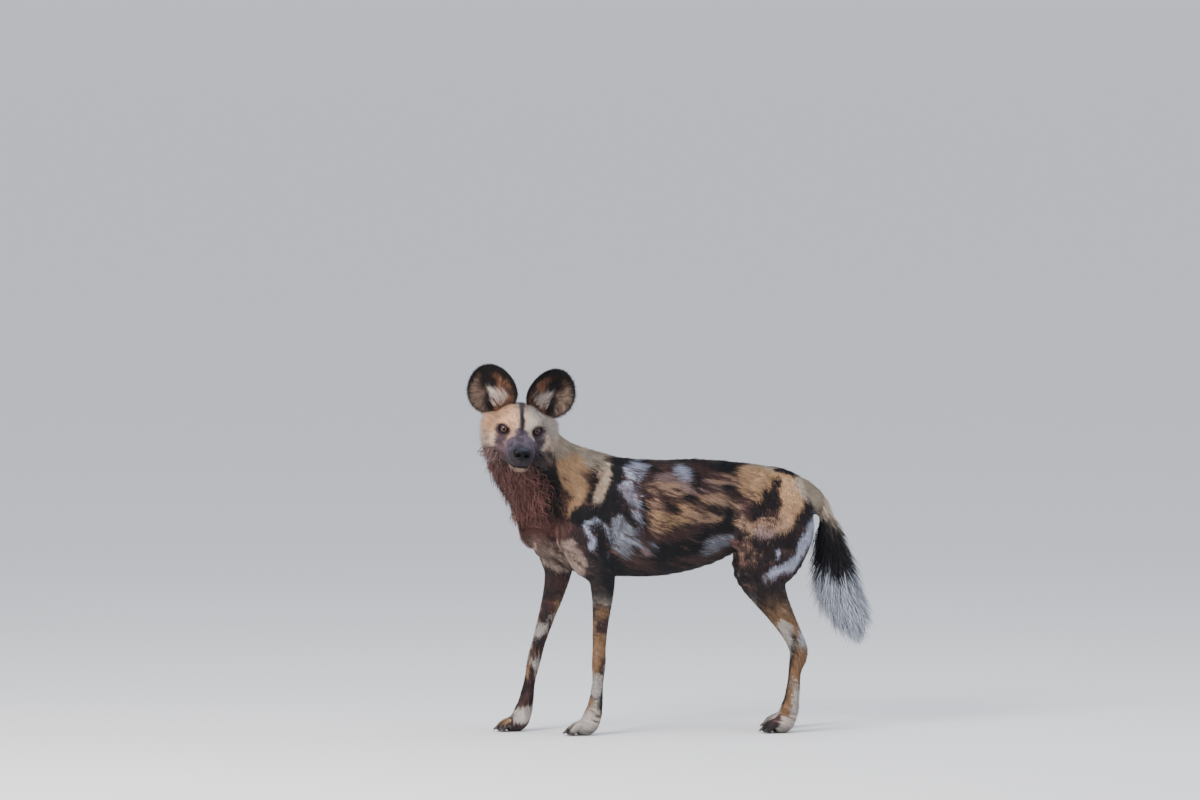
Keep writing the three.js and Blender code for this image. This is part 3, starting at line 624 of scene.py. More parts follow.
@dataclass
class SkinGrid:
    """Cells for meshing a field: fine over the head, coarser elsewhere.

    Attributes:
        fine: cell size over the head in millimetres.
        coarse: cell size elsewhere.
        band: how far from the surface the field is kept.
        toe_height: the cells are fine below this height too, for the toes.
    """

    fine: float = 2.2
    coarse: float = 4.7
    band: float = 12.0
    toe_height: float = 52.0
    low: tuple[float, float, float] = (-500.0, -300.0, -8.0)
    high: tuple[float, float, float] = (530.0, 130.0, 925.0)
    fine_low: tuple[float, float, float] = (-478.0, -286.0, 640.0)
    fine_high: tuple[float, float, float] = (-258.0, -76.0, 850.0)

    def __post_init__(self) -> None:
        """Lay out the cell planes."""
        self.axes = []
        for lo, hi, flo, fhi in zip(self.low, self.high, self.fine_low, self.fine_high):
            parts = [
                np.linspace(lo, flo, max(int((flo - lo) / self.coarse), 2), endpoint=False),
                np.linspace(flo, fhi, int((fhi - flo) / self.fine), endpoint=False),
                np.linspace(fhi, hi, max(int((hi - fhi) / self.coarse), 2)),
            ]
            self.axes.append(np.concatenate(parts))
        above = self.axes[2] >= self.toe_height
        layers = int((self.toe_height - self.low[2]) / self.fine)
        toes = np.linspace(self.low[2], self.toe_height, layers, endpoint=False)
        self.axes[2] = np.concatenate([toes, self.axes[2][above]])
        self.values = np.full([len(a) for a in self.axes], FAR, np.float32)

    def block(self, low: Array, high: Array) -> tuple:
        """The slices of the cells inside a box.

        Args:
            low: lowest corner.
            high: highest corner.

        Returns:
            One slice per axis.
        """
        return tuple(
            slice(int(np.searchsorted(a, lo)), int(np.searchsorted(a, hi)) + 1)
            for a, lo, hi in zip(self.axes, low, high)
        )

    def places(self, part: tuple) -> Array:
        """The points of a block of cells, one per row."""
        mesh = np.meshgrid(*[a[s] for a, s in zip(self.axes, part)], indexing="ij")
        return np.stack([m.ravel() for m in mesh], -1)

    def add(self, form: Field, low: Array, high: Array, soft: float) -> None:
        """Join a form into the field inside a box.

        Args:
            form: the field to join.
            low: lowest corner.
            high: highest corner.
            soft: blending distance.
        """
        part = self.block(low, high)
        old = self.values[part]
        new = form(self.places(part)).reshape(old.shape).astype(np.float32)
        self.values[part] = blend(old, new, soft) if soft else np.minimum(old, new)

    def add_limb(self, limb: Limb, soft: float, pad: float) -> None:
        """Join a limb into the field, piece by piece.

        Args:
            limb: the limb to join.
            soft: blending distance.
            pad: room round the limb.
        """
        reach = limb.sizes.max() + pad
        low = np.minimum(limb.a.min(0), limb.b.min(0)) - reach
        high = np.maximum(limb.a.max(0), limb.b.max(0)) + reach
        whole = self.block(low, high)
        own = np.full(self.values[whole].shape, FAR, np.float32)
        for i in range(len(limb.a)):
            size = max(limb.sizes[i].max(), limb.sizes[i + 1].max()) + pad
            low, high = np.minimum(limb.a[i], limb.b[i]) - size, np.maximum(limb.a[i], limb.b[i]) + size
            part = self.block(low, high)
            inner = tuple(slice(s.start - w.start, s.stop - w.start) for s, w in zip(part, whole))
            d = limb.piece(i, self.places(part)).reshape(own[inner].shape)
            own[inner] = np.minimum(own[inner], d)
        self.values[whole] = blend(self.values[whole], own, soft)

    def mesh(self) -> tuple[Array, Array]:
        """Draw the surface at zero as quads.

        Returns:
            The points, and the quads facing outwards.
        """
        grid = openvdb.FloatGrid(self.band)
        grid.copyFromArray(np.clip(self.values, -self.band, self.band).astype(np.float32))
        points, quads = grid.convertToQuads(isovalue=0.0)
        out = np.empty_like(points, dtype=float)
        for k, axis in enumerate(self.axes):
            out[:, k] = np.interp(points[:, k], np.arange(len(axis)), axis)
        return out, facing_out(out, quads)


@dataclass(frozen=True)
class Mark:
    """One mark of the coat, drawn along a line in the side view.

    Attributes:
        colour: its hex colour.
        size: half its width, in units of the side view.
        line: the places it runs through, in units of the side view.
        cover: the share of its area that takes the colour, the rest staying as it was in streaks.
    """

    colour: int
    size: float
    line: tuple
    cover: float = 1.2


class Tint:
    """Hex colours of coat, bare skin, eyes, nose and claws."""

    NIGHT = 0x0B0A10
    DARK = 0x1D1418
    BROWN = 0x452D2C
    TAN = 0xBA967C
    GOLD = 0xC69E78
    BUFF = 0xC4B29E
    GREY = 0x8B8D97
    WHITE = 0xAFB3C6
    PINK = 0xA08480
    KHAKI = 0xB8A894
    RUFF = 0x633F3A
    STREAK = 0x75574C
    NECK_BAND = 0xA6917E
    SHADOW = 0x8A8391
    CHEST = 0xA2887E
    CHEST_PALE = 0xA08A7E
    LEG_TAWNY = 0x8C6B4C
    LEG_PALE = 0xB5ADA6
    PAW = 0x2A2325
    TOE_CLEFT_SHADE = 0x0C0A0B
    # Painted shade in the clefts between the toes.
    TAIL_BLACK = 0x16141A
    PLUME = 0xB8BDC9
    RUFF_DEEP = 0x38231F
    RUFF_TIP = 0x8C645A
    JAW_BLACK = 0x171314
    # Lit and shaded copies of the face's buff: painted light and shade.
    FACE_WARM = 0xE2B08C
    FACE_COOL = 0xBDB0A4
    CHEEK = 0xD8C2AE
    NAPE = 0xBFAE98
    TICKING = 0x7A5F4E
    MUZZLE = 0x372F3B
    MUZZLE_LIGHT = 0x554A57
    MUZZLE_ROSE = 0x866870
    MUZZLE_END = 0x1C171E
    MUZZLE_UNDER = 0x241B20
    BRIDGE = 0x6E5A56
    EYE_RING = 0x2E2029
    UNDER_EYE = 0x3B2D38
    GLEAM = 0xA88C80
    STRIPE = 0x130D0F
    CROWN = 0x5A5058
    JOWL = 0x5E4648
    JOWL_DARK = 0x2C2124
    CHIN = 0x8A6E5E
    LIP = 0x120D10
    EAR_BACK = 0x2B2220
    EAR_BACK_TAWNY = 0x5A4434
    EAR_BACK_RIM = 0x14100F
    EAR_WARM = 0x8A5F46
    EAR_BROWN = 0x58403A
    EAR_PALE = 0x857062
    EAR_STREAK = 0x2C2120
    # Painted shade in the ear's hollow.
    EAR_DEEP = 0x120C0C
    EAR_RIM = 0x110D0D
    EAR_TUFT = 0xE0CEC4
    IRIS = 0x5E3F30
    IRIS_SPOKE = 0x97705A
    IRIS_EDGE = 0x2E1A14
    IRIS_LINE = 0x2A1C1A
    EYE_WHITE = 0x4A3430
    PUPIL = 0x020202
    LID = 0x463640
    LID_EDGE = 0x110C0E
    NOSE = 0x060507
    # Painted highlight on the top of the nose pad.
    NOSE_TOP = 0x262834
    CLAW = 0x1C1817
    CLAW_END = 0x3A322C
    WHISKER = 0x0E0C0D


VIEW_UNIT = 2.45
VIEW_ZERO = (660.0, 732.0)
MARKS = (
    Mark(Tint.KHAKI, 13, ((556, 440), (572, 447), (590, 455), (604, 458)), 1.1),
    Mark(Tint.GOLD, 13, ((568, 462), (571, 480), (569, 500)), 1.05),
    Mark(Tint.GOLD, 7, ((578, 470), (579, 492), (564, 508)), 0.95),
    Mark(Tint.NECK_BAND, 10.5, ((602, 462), (604, 478), (600, 494)), 0.98),
    Mark(Tint.KHAKI, 7, ((590, 456), (604, 462)), 0.9),
    Mark(Tint.DARK, 3.2, ((592, 463), (592, 480), (589, 500)), 0.95),
    Mark(Tint.BROWN, 3.0, ((562, 468), (561, 490)), 0.45),
    Mark(Tint.NIGHT, 6, ((616, 457), (617, 470), (616, 486), (608, 500))),
    Mark(Tint.NIGHT, 10.5, ((580, 514), (598, 512), (612, 506))),
    Mark(Tint.NIGHT, 3.0, ((606, 457), (640, 459), (662, 461), (700, 459))),
    # Painted highlight: thin pale khaki lines along the lit top edge of the back.
    Mark(Tint.KHAKI, 2.4, ((648, 457), (676, 457)), 0.8),
    Mark(Tint.KHAKI, 2.2, ((700, 458), (740, 460)), 0.7),
    Mark(Tint.BROWN, 24, ((650, 485), (700, 490), (730, 500)), 0.75),
    Mark(Tint.WHITE, 5.8, ((629, 466), (637, 467), (631, 473)), 0.86),
    Mark(Tint.WHITE, 4.4, ((631, 477), (625, 485)), 0.66),
    Mark(Tint.SHADOW, 4.2, ((622, 486), (631, 497), (637, 512)), 0.52),
    Mark(Tint.WHITE, 2.4, ((633, 496), (639, 510), (639, 522), (638, 533)), 0.7),
    Mark(Tint.DARK, 5, ((650, 468), (660, 477)), 0.8),
    Mark(Tint.PINK, 6, ((654, 481), (668, 476), (686, 489)), 0.42),
    Mark(Tint.WHITE, 5.2, ((676, 470), (681, 472), (682, 478)), 0.8),
    Mark(Tint.PINK, 4.2, ((682, 484), (686, 490)), 0.7),
    Mark(Tint.NIGHT, 4.5, ((692, 474), (695, 486)), 0.8),
    Mark(Tint.TAN, 5.5, ((650, 486), (668, 488), (680, 495)), 0.46),
    Mark(Tint.TAN, 8.0, ((652, 504), (650, 518), (649, 530)), 0.72),
    Mark(Tint.GOLD, 10, ((656, 518), (672, 517), (686, 509), (700, 504)), 0.62),
    Mark(Tint.TAN, 8, ((700, 500), (716, 498), (734, 503)), 0.47),
    Mark(Tint.TAN, 8, ((690, 517), (712, 513), (730, 515)), 0.46),
    Mark(Tint.DARK, 4.6, ((662, 502), (672, 509)), 0.95),
    Mark(Tint.DARK, 4.0, ((684, 496), (695, 500)), 0.85),
    Mark(Tint.DARK, 4.4, ((704, 506), (716, 509)), 0.8),
    Mark(Tint.DARK, 4.0, ((642, 500), (643, 516), (642, 530)), 0.8),
    Mark(Tint.DARK, 4.0, ((668, 528), (684, 524)), 0.6),
    Mark(Tint.PINK, 5, ((700, 483), (724, 486)), 0.45),
    Mark(Tint.TAN, 6, ((712, 478), (734, 484)), 0.45),
    Mark(Tint.NIGHT, 5, ((714, 464), (731, 466)), 0.95),
    Mark(Tint.NIGHT, 5, ((736, 470), (745, 477)), 0.95),
    Mark(Tint.NIGHT, 5, ((722, 488), (732, 492)), 0.6),
    Mark(Tint.BROWN, 7, ((640, 536), (668, 536), (690, 530)), 0.7),
    Mark(Tint.NIGHT, 9, ((645, 550), (680, 548), (700, 541)), 1.0),
    Mark(Tint.NIGHT, 6, ((726, 512), (722, 524), (704, 530)), 0.95),
    Mark(Tint.GREY, 7.5, ((620, 526), (620, 542), (618, 552)), 0.7),
    Mark(Tint.GREY, 5.5, ((618, 520), (630, 538)), 0.68),
    Mark(Tint.WHITE, 3.0, ((628, 538), (640, 543), (650, 544)), 0.75),
    Mark(Tint.PINK, 5.5, ((632, 547), (646, 546)), 0.5),
    Mark(Tint.GREY, 5.6, ((706, 545), (716, 540), (724, 540)), 0.9),
    Mark(Tint.GREY, 3.4, ((702, 551), (712, 548)), 0.8),
    Mark(Tint.GOLD, 12, ((744, 474), (766, 474), (786, 480), (796, 490)), 1.02),
    Mark(Tint.GOLD, 9, ((742, 484), (752, 494)), 0.8),
    Mark(Tint.GOLD, 11, ((789, 488), (794, 500), (790, 514)), 1.05),
    Mark(Tint.BUFF, 4.5, ((745, 463), (775, 465)), 0.9),
    Mark(Tint.DARK, 18, ((762, 556), (786, 546)), 0.75),
    Mark(Tint.TAN, 7.5, ((752, 520), (768, 526), (784, 522)), 0.62),
    Mark(Tint.TAN, 5, ((740, 520), (748, 532)), 0.5),
    Mark(Tint.PINK, 4, ((760, 531), (770, 532)), 0.7),
    Mark(Tint.BROWN, 7, ((744, 500), (752, 514)), 0.65),
    Mark(Tint.DARK, 8.0, ((769, 494), (768, 506), (757, 510)), 0.9),
    Mark(Tint.DARK, 4.6, ((777, 481), (771, 492)), 0.9),
    Mark(Tint.NIGHT, 3.8, ((778, 468), (795, 473))),
    Mark(Tint.DARK, 3.0, ((800, 484), (812, 496)), 0.8),
    Mark(Tint.DARK, 6.5, ((808, 502), (812, 509), (800, 520))),
    Mark(Tint.WHITE, 2.4, ((777, 551), (778, 553))),
    Mark(Tint.TAN, 6, ((745, 550), (752, 556)), 0.4),
    Mark(Tint.WHITE, 4.4, ((815, 517), (810, 530), (804, 543), (797, 556), (788, 566))),
    Mark(Tint.WHITE, 3.4, ((789, 566), (777, 570), (764, 577)), 1.0),
    Mark(Tint.KHAKI, 7.5, ((802, 480), (818, 500), (828, 520)), 0.95),
    Mark(Tint.BUFF, 4.5, ((794, 484), (806, 497)), 0.7),
    Mark(Tint.CHEST, 13, ((526, 532), (540, 548)), 0.58),
    Mark(Tint.CHEST_PALE, 13, ((554, 556), (566, 550), (574, 562)), 0.56),
    Mark(Tint.NIGHT, 10, ((612, 560), (612, 584)), 1.0),
    Mark(Tint.WHITE, 0.3, ((584, 523), (590, 520), (602, 519))),
    Mark(Tint.WHITE, 1.9, ((586, 525), (589, 532), (594, 539), (592, 545))),
    Mark(Tint.WHITE, -0.1, ((602, 519), (608, 528), (611, 543), (607, 556))),
    Mark(Tint.NIGHT, 4.5, ((601, 530), (602, 556))),
)

JAW_LINE = ((540.0, 466), (552, 470), (549, 490), (553, 506))
GLEAM_LINE = ((20.0, 6.0), (26, -8), (38, -26))


class Markings:
    """The colours of the coat at any place on the animal."""

    def __init__(self, anatomy: Anatomy) -> None:
        """Keep the anatomy that the marks lie on."""
        self.anatomy = anatomy

    @staticmethod
    def side_view(p: Array) -> tuple[Array, Array]:
        """Places in the side view: across the page and down it.

        Args:
            p: points in the working frame.

        Returns:
            The two coordinates.
        """
        slant = 0.139 * np.abs(p[:, 1])
        u = VIEW_ZERO[0] + (0.990 * p[:, 0] + slant) / VIEW_UNIT
        v = VIEW_ZERO[1] - (p[:, 2] - 0.05 * np.abs(p[:, 1])) / VIEW_UNIT
        return u, v

    def body(self, p: Array) -> Array:
        """Colours of trunk, neck, legs and tail, in linear values.

        Args:
            p: points in the working frame.

        Returns:
            Colours, one per row.
        """
        side = np.where(p[:, 1] + 10 * noise(p, 30, 3) < 6, -1.0, 1.0)
        u, v = self.side_view(p)
        wild = np.where(side < 0, 1.0, 7.0)
        u = u + wild * 1.5 * noise(p, 24, 11)
        v = v + wild * 1.5 * noise(p, 24, 13)
        u = np.where(side < 0, u, u + 14)
        # The lie of the hair draws every edge out into streaks.
        along, across = 0.94 * u + 0.34 * v, 0.94 * v - 0.34 * u
        hairs = noise(np.stack([along / 7, across / 1.5, p[:, 1] / 30], -1), 1.0, 21)
        locks = noise(np.stack([along / 15, across / 4.2, p[:, 1] / 60], -1), 1.0, 22)
        blots = noise(np.stack([along / 24, across / 13, p[:, 1] / 70], -1), 1.0, 23)
        front = ramp(-255, -300, p[:, 0])
        hairs = hairs * (1 - front) + front * noise(p * np.array([1, 1, 0.3]), 4.5, 24)
        locks = locks * (1 - front) + front * noise(p * np.array([1, 1, 0.4]), 13, 25)
        colour = mix(Tint.DARK, Tint.BROWN, ramp(-0.4, 0.6, blots + 0.6 * locks))
        colour = mix(colour, Tint.STREAK, 0.5 * ramp(0.35, 0.95, hairs + 0.5 * locks))
        colour = self.legs(p, colour, hairs)
        for mark in MARKS:
            line = np.array(mark.line, float)
            d = to_line(np.stack([u, v], -1), line) + 2.3 * hairs + 1.8 * locks
            share = ramp(mark.size + 1.8, mark.size - 1.6, d)
            grain = 0.5 + 0.5 * hairs + 0.42 * locks
            share = share * ramp(mark.cover + 0.2, mark.cover - 0.16, grain)
            colour = mix(colour, mark.colour, share)
        colour = colour * (1 + 0.22 * hairs + 0.14 * locks)[:, None]
        return self.throat(p, self.tail(p, colour, hairs), u, v, hairs)

    def legs(self, p: Array, colour: Array, rough: Array) -> Array:
        """Dark upper legs that break into pale and tawny patches lower down, with painted shade in the clefts
        between the toes.

        Args:
            p: points.
            colour: colours so far.
            rough: streak noise.

        Returns:
            The new colours.
        """
        low = ramp(360, 270, p[:, 2])
        pale = ramp(0.05, 0.35, noise(p, 42, 41) + 0.25 * rough) * low
        tawny = ramp(0.0, 0.35, noise(p, 38, 42) + 0.25 * rough) * low
        colour = mix(colour, Tint.LEG_TAWNY, 0.85 * tawny)
        colour = mix(colour, Tint.LEG_PALE, 0.85 * pale)
        colour = mix(colour, Tint.PAW, 0.6 * ramp(30, 6, p[:, 2]))
        # Painted shade in the clefts between the toes.
        for foot in self.anatomy.feet:
            q = p - foot
            cleft = np.min([np.abs(q[:, 1] - y) for y in (-14.0, 0.0, 14.0)], axis=0)
            toes = ramp(-14, -24, q[:, 0]) * ramp(-75, -65, q[:, 0]) * ramp(38, 28, q[:, 2])
            share = 0.9 * toes * ramp(3.0, 0.8, cleft) * (np.abs(q[:, 1]) < 40)
            colour = mix(colour, Tint.TOE_CLEFT_SHADE, share)
        return colour

    def tail(self, p: Array, colour: Array, rough: Array) -> Array:
        """Buff root, black middle and white plume.

        Args:
            p: points.
            colour: colours so far.
            rough: streak noise.

        Returns:
            The new colours.
        """
        on_tail = ramp(388, 402, p[:, 0] + 0.2 * (560 - p[:, 2])) * ramp(200, 240, p[:, 2])
        height = p[:, 2] + 14 * noise(p, 22, 51) + 16 * rough
        shade = mix(Tint.TAIL_BLACK, Tint.BUFF, ramp(498, 550, height))
        shade = mix(shade, Tint.PLUME, ramp(392, 376, height))
        return mix(colour, shade, on_tail)

    def throat(self, p: Array, colour: Array, u: Array, v: Array, rough: Array) -> Array:
        """The dark red-brown ruff, with the black patch behind the jaw.

        Args:
            p: points.
            colour: colours so far.
            u: place across the side view.
            v: place down it.
            rough: streak noise.

        Returns:
            The new colours.
        """
        d, _, _, _ = self.anatomy.limbs[Region.NECK].nearest(p)
        near = ramp(60, 35, d)
        edge = u - 552 - 0.28 * (v - 470) + 5 * noise(p, 18, 61) + 2 * rough
        ruff = near * ramp(3.0, -4.0, edge) * ramp(548, 528, v) * ramp(418, 436, v)
        deep = ramp(-0.1, 0.8, noise(p, 16, 62))
        tone = mix(Tint.RUFF, Tint.RUFF_DEEP, deep)
        tone = mix(tone, Tint.RUFF_TIP, 0.6 * ramp(0.2, 0.9, noise(p, 7, 63)))
        colour = mix(colour, tone, ruff)
        black = to_line(np.stack([u, v], -1), np.array(JAW_LINE))
        black = near * ramp(8.5, 4.5, black + 2 * rough) * ramp(70, 20, p[:, 1])
        return mix(colour, Tint.JAW_BLACK, black)

    def face(self, q: Array) -> Array:
        """Colours of the head, from places in its own frame.

        Args:
            q: points in the head's frame.

        Returns:
            Colours, one per row.
        """
        x, y, z = q[:, 0], q[:, 1], q[:, 2]
        rough = noise(q * np.array([0.5, 1, 1]), 4, 71)
        wave = noise(q, 15, 72)
        flow = noise(q * np.array([0.3, 1, 0.5]), 3.2, 75)
        wide = np.abs(y)
        # The face's buff as a lit copy on the dog's right and a shaded copy on its left: painted light and
        # shade.
        shaded_side = ramp(-20, 28, y + 9 * wave)
        colour = mix(Tint.FACE_WARM, Tint.FACE_COOL, shaded_side)
        cheek = 0.8 * ramp(2, -26, z + 5 * wave) * ramp(44, 64, wide)
        colour = mix(colour, Tint.CHEEK, cheek)
        colour = mix(colour, Tint.NAPE, ramp(-45, -80, x))
        colour = mix(colour, Tint.TICKING, 0.6 * ramp(0.0, 0.8, flow + 0.5 * wave))
        # The dark of the muzzle rises as a wedge between the eyes and takes in its sides.
        half = np.interp(x, [0, 10, 24, 40, 58, 74], [2, 6, 11, 17, 25, 38])
        top = ramp(half + 9, half - 7, wide + 5 * wave + 5 * rough + 3 * flow)
        top = top * ramp(-4, 18, x + 5 * rough)
        edge = np.interp(x, [-26, -10, 4, 20, 40, 60, 80], [-74, -40, -19, -13, -12, -4, 8])
        sides = ramp(edge + 12, edge - 10, z + 7 * wave + 7 * rough + 3 * flow) * ramp(-26, -4, x)
        sides = sides * ramp(62, 50, wide + 4 * wave + 2 * rough)
        muzzle = np.maximum(top, sides)
        light = ramp(-0.4, 0.7, noise(q, 9, 73) + 0.4 * flow)
        shade = mix(Tint.MUZZLE, Tint.MUZZLE_LIGHT, light)
        shade = mix(shade, Tint.MUZZLE_ROSE, 0.75 * ramp(-6, -30, y) * ramp(70, 26, x))
        shade = mix(shade, Tint.MUZZLE_END, 0.8 * ramp(74, 96, x + 3 * wave))
        shade = mix(shade, Tint.MUZZLE_UNDER, ramp(-46, -68, z) * 0.75)
        bridge = ramp(36, 20, wide) * ramp(18, -4, z + 5 * wave + 3 * rough)
        bridge = bridge * ramp(-16, 0, x)
        colour = mix(colour, Tint.BRIDGE, 0.75 * bridge)
        colour = mix(colour, shade, muzzle)
        for side in (1, -1):
            e = self.anatomy.eye_centre(side) + 8 * self.anatomy.gaze(side)
            d = np.linalg.norm((q - e) * np.array([0.6, 1.0, 1.1]), axis=1) + 2.0 * rough + 1.5 * wave
            colour = mix(colour, Tint.EYE_RING, ramp(24, 14, d))
            spot = np.array([4.0, side * 47.0, -20.0])
            below = np.linalg.norm((q - spot) * np.array([0.5, 1.0, 0.62]), axis=1)
            below = 0.9 * ramp(21, 9, below + 4 * rough + 3 * wave)
            colour = mix(colour, Tint.UNDER_EYE, below)
            gleam = to_line(np.stack([y * side, z + 0.2 * x], -1), np.array(GLEAM_LINE))
            gleam = ramp(4.5, 1.0, gleam + 2.2 * rough) * ramp(-4, 6, x) * ramp(48, 34, x)
            colour = mix(colour, Tint.GLEAM, 0.6 * gleam)
        stripe = np.abs(y - 1.0 - 2.4 * noise(q, 16, 76)) + 1.4 * rough + 1.6 * noise(q, 20, 74)
        half = np.interp(z, [-4, 6, 14, 24, 60], [0.6, 1.6, 4.4, 5.8, 7.5])
        half = np.where(x < -70, 9.0, half)
        stripe = ramp(half + 3.2, half - 2.4, stripe) * ramp(-8, 2, z) * ramp(-104, -78, x)
        colour = mix(colour, Tint.STRIPE, stripe)
        crown = ramp(34, 48, z + 4 * wave) * ramp(26, 8, wide)
        colour = mix(colour, Tint.CROWN, 0.45 * crown)
        jowl = ramp(-44, -60, z + 0.2 * x + 6 * wave + 4 * rough) * ramp(44, 26, x)
        shade = mix(Tint.JOWL, Tint.JOWL_DARK, ramp(-10, 24, y))
        colour = mix(colour, shade, 0.9 * jowl)
        line = self.anatomy.mouth_line(x)
        chin = ramp(46, 66, x) * ramp(line, line - 3, z) * ramp(-96, -84, z)
        colour = mix(colour, Tint.CHIN, 0.8 * chin * (1 - 0.5 * ramp(0, 0.6, flow)))
        lip = np.exp(-(((z - line) / 2.4) ** 2)) * ramp(20, 34, x)
        return mix(colour, Tint.LIP, np.clip(1.1 * lip, 0, 1))

    def colour(self, p: Array) -> Array:
        """Colours anywhere on the skin, in linear values.

        Args:
            p: points in the working frame.

        Returns:
            Colours, one per row.
        """
        q = self.anatomy.head.local(p)
        body = self.body(p)
        near = self.anatomy.head_run(q)
        on_head = ramp(16, 3, near + 4 * noise(p, 14, 81))
        return mix(body, self.face(q), on_head)


def working_shift() -> Array:
    """The move from the dog's working frame to the row's frame, in millimetres.

    Returns:
        The move along x, y and z.
    """
    anatomy = Anatomy()
    low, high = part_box("eye_left")
    centre = (np.asarray(low) + np.asarray(high)) / 2 * 1000
    return centre - anatomy.head.world(anatomy.eye_centre(1))


SHIFT = working_shift()


def make_object(name: str, points: Array, faces: Array, smooth: bool = True) -> bpy.types.Object:
    """Make a mesh object from points in the working frame.

    Args:
        name: the piece's name.
        points: one point per row, in millimetres.
        faces: rows of three or four point numbers.
        smooth: whether it is shaded smooth.

    Returns:
        The new object, in metres, in the row's frame.
    """
    mesh = bpy.data.meshes.new(name)
    faces = np.asarray(faces)
    count, corners = faces.shape
    mesh.vertices.add(len(points))
    mesh.vertices.foreach_set("co", ((points + SHIFT) / 1000).astype(np.float32).ravel())
    mesh.loops.add(count * corners)
    mesh.loops.foreach_set("vertex_index", faces.astype(np.int32).ravel())
    mesh.polygons.add(count)
    mesh.polygons.foreach_set("loop_start", np.arange(0, count * corners, corners, dtype=np.int32))
    mesh.polygons.foreach_set("use_smooth", np.full(count, smooth))
    mesh.update(calc_edges=True)
    mesh.validate()
    made = bpy.data.objects.new(name, mesh)
    bpy.context.scene.collection.objects.link(made)
    return made


def paint(piece: bpy.types.Object, name: str, colours: Array) -> None:
    """Store a linear colour for each point of a piece.

    Args:
        piece: the mesh object.
        name: of the colour attribute.
        colours: one per point.
    """
    layer = piece.data.color_attributes.new(name, "FLOAT_COLOR", "POINT")
    rgba = np.ones((len(colours), 4), np.float32)
    rgba[:, :3] = np.clip(colours, 0, 1)
    layer.data.foreach_set("color", rgba.ravel())


def place_unwrap(piece: bpy.types.Object, per_point: Array) -> None:
    """Give a piece the OFBake map from one place per point.

    Args:
        piece: the mesh object.
        per_point: one place per point.
    """
    layer = piece.data.uv_layers.new(name="OFBake")
    corner = np.empty(len(piece.data.loops), np.int32)
    piece.data.loops.foreach_get("vertex_index", corner)
    layer.data.foreach_set("uv", per_point[corner].astype(np.float32).ravel())


def preset(node: bpy.types.Node, **values: object) -> bpy.types.Node:
    """Set a node's inputs.

    Args:
        node: the node.
        values: its inputs by name, with _ for a space.

    Returns:
        The same node.
    """
    for label, value in values.items():
        node.inputs[label.replace("_", " ")].default_value = value
    return node


class Materials:
    """The finishes and the effects that they share."""

    def __init__(self) -> None:
        """Make the shared groups, and with them the materials."""
        self.strand_tone = self.make_strand_tone()
        self.grain = self.make_grain()
        self.made = {kind.name: kind.build(self) for kind in FINISHES}

    @staticmethod
    def group(name: str, inputs: Sequence[tuple], outputs: Sequence[tuple]) -> bpy.types.NodeTree:
        """Start a node group.

        Args:
            name: what the effect is.
            inputs: socket names, kinds and defaults.
            outputs: socket names and kinds.

        Returns:
            The new group with its two end nodes named "in" and "out".
        """
        tree = bpy.data.node_groups.new(name, "ShaderNodeTree")
        for label, kind, default in inputs:
            socket = tree.interface.new_socket(label, in_out="INPUT", socket_type=kind)
            if default is not None:
                socket.default_value = default
        for label, kind in outputs:
            tree.interface.new_socket(label, in_out="OUTPUT", socket_type=kind)
        tree.nodes.new("NodeGroupInput").name = "in"
        tree.nodes.new("NodeGroupOutput").name = "out"
        return tree

    def make_strand_tone(self) -> bpy.types.NodeTree:
        """Vary a colour strand by strand and patch by patch.

        Returns:
            The node group.
        """
        tree = self.group(
            "strand tone",
            [
                ("Color", "NodeSocketColor", None),
                ("Strength", "NodeSocketFloat", 0.35),
                ("Scale", "NodeSocketFloat", 700.0),
            ],
            [("Color", "NodeSocketColor")],
        )
        n, link = tree.nodes, tree.links.new
        place = n.new("ShaderNodeTexCoord")
        fine = preset(n.new("ShaderNodeTexNoise"), Detail=2.0)
        link(place.outputs["Object"], fine.inputs["Vector"])
        link(n["in"].outputs["Scale"], fine.inputs["Scale"])
        spread = preset(n.new("ShaderNodeMapRange"), From_Min=0.3, From_Max=0.7, To_Min=-1.0, To_Max=1.0)
        link(fine.outputs["Fac"], spread.inputs["Value"])
        scaled = n.new("ShaderNodeMath")
        scaled.operation = "MULTIPLY_ADD"
        scaled.inputs[2].default_value = 1.0
        link(spread.outputs["Result"], scaled.inputs[0])
        link(n["in"].outputs["Strength"], scaled.inputs[1])
        tone = n.new("ShaderNodeVectorMath")
        tone.operation = "SCALE"
        link(n["in"].outputs["Color"], tone.inputs[0])
        link(scaled.outputs[0], tone.inputs["Scale"])
        link(tone.outputs[0], n["out"].inputs["Color"])
        return tree

    def make_grain(self) -> bpy.types.NodeTree:
        """Turn two sizes of noise into a bumped normal.

        Returns:
            The node group.
        """
        tree = self.group(
            "fine grain",
            [
                ("Scale", "NodeSocketFloat", 900.0),
                ("Height", "NodeSocketFloat", 0.0004),
                ("Stretch", "NodeSocketVector", (1, 1, 1)),
            ],
            [("Normal", "NodeSocketVector"), ("Mask", "NodeSocketFloat")],
        )
        n, link = tree.nodes, tree.links.new
        place = n.new("ShaderNodeTexCoord")
        stretch = n.new("ShaderNodeVectorMath")
        stretch.operation = "MULTIPLY"
        link(place.outputs["Object"], stretch.inputs[0])
        link(n["in"].outputs["Stretch"], stretch.inputs[1])
        texture = preset(n.new("ShaderNodeTexNoise"), Detail=4.0)
        link(stretch.outputs[0], texture.inputs["Vector"])
        link(n["in"].outputs["Scale"], texture.inputs["Scale"])
        bump = preset(n.new("ShaderNodeBump"), Strength=1.0)
        link(texture.outputs["Fac"], bump.inputs["Height"])
        link(n["in"].outputs["Height"], bump.inputs["Distance"])
        link(bump.outputs["Normal"], n["out"].inputs["Normal"])
        link(texture.outputs["Fac"], n["out"].inputs["Mask"])
        return tree


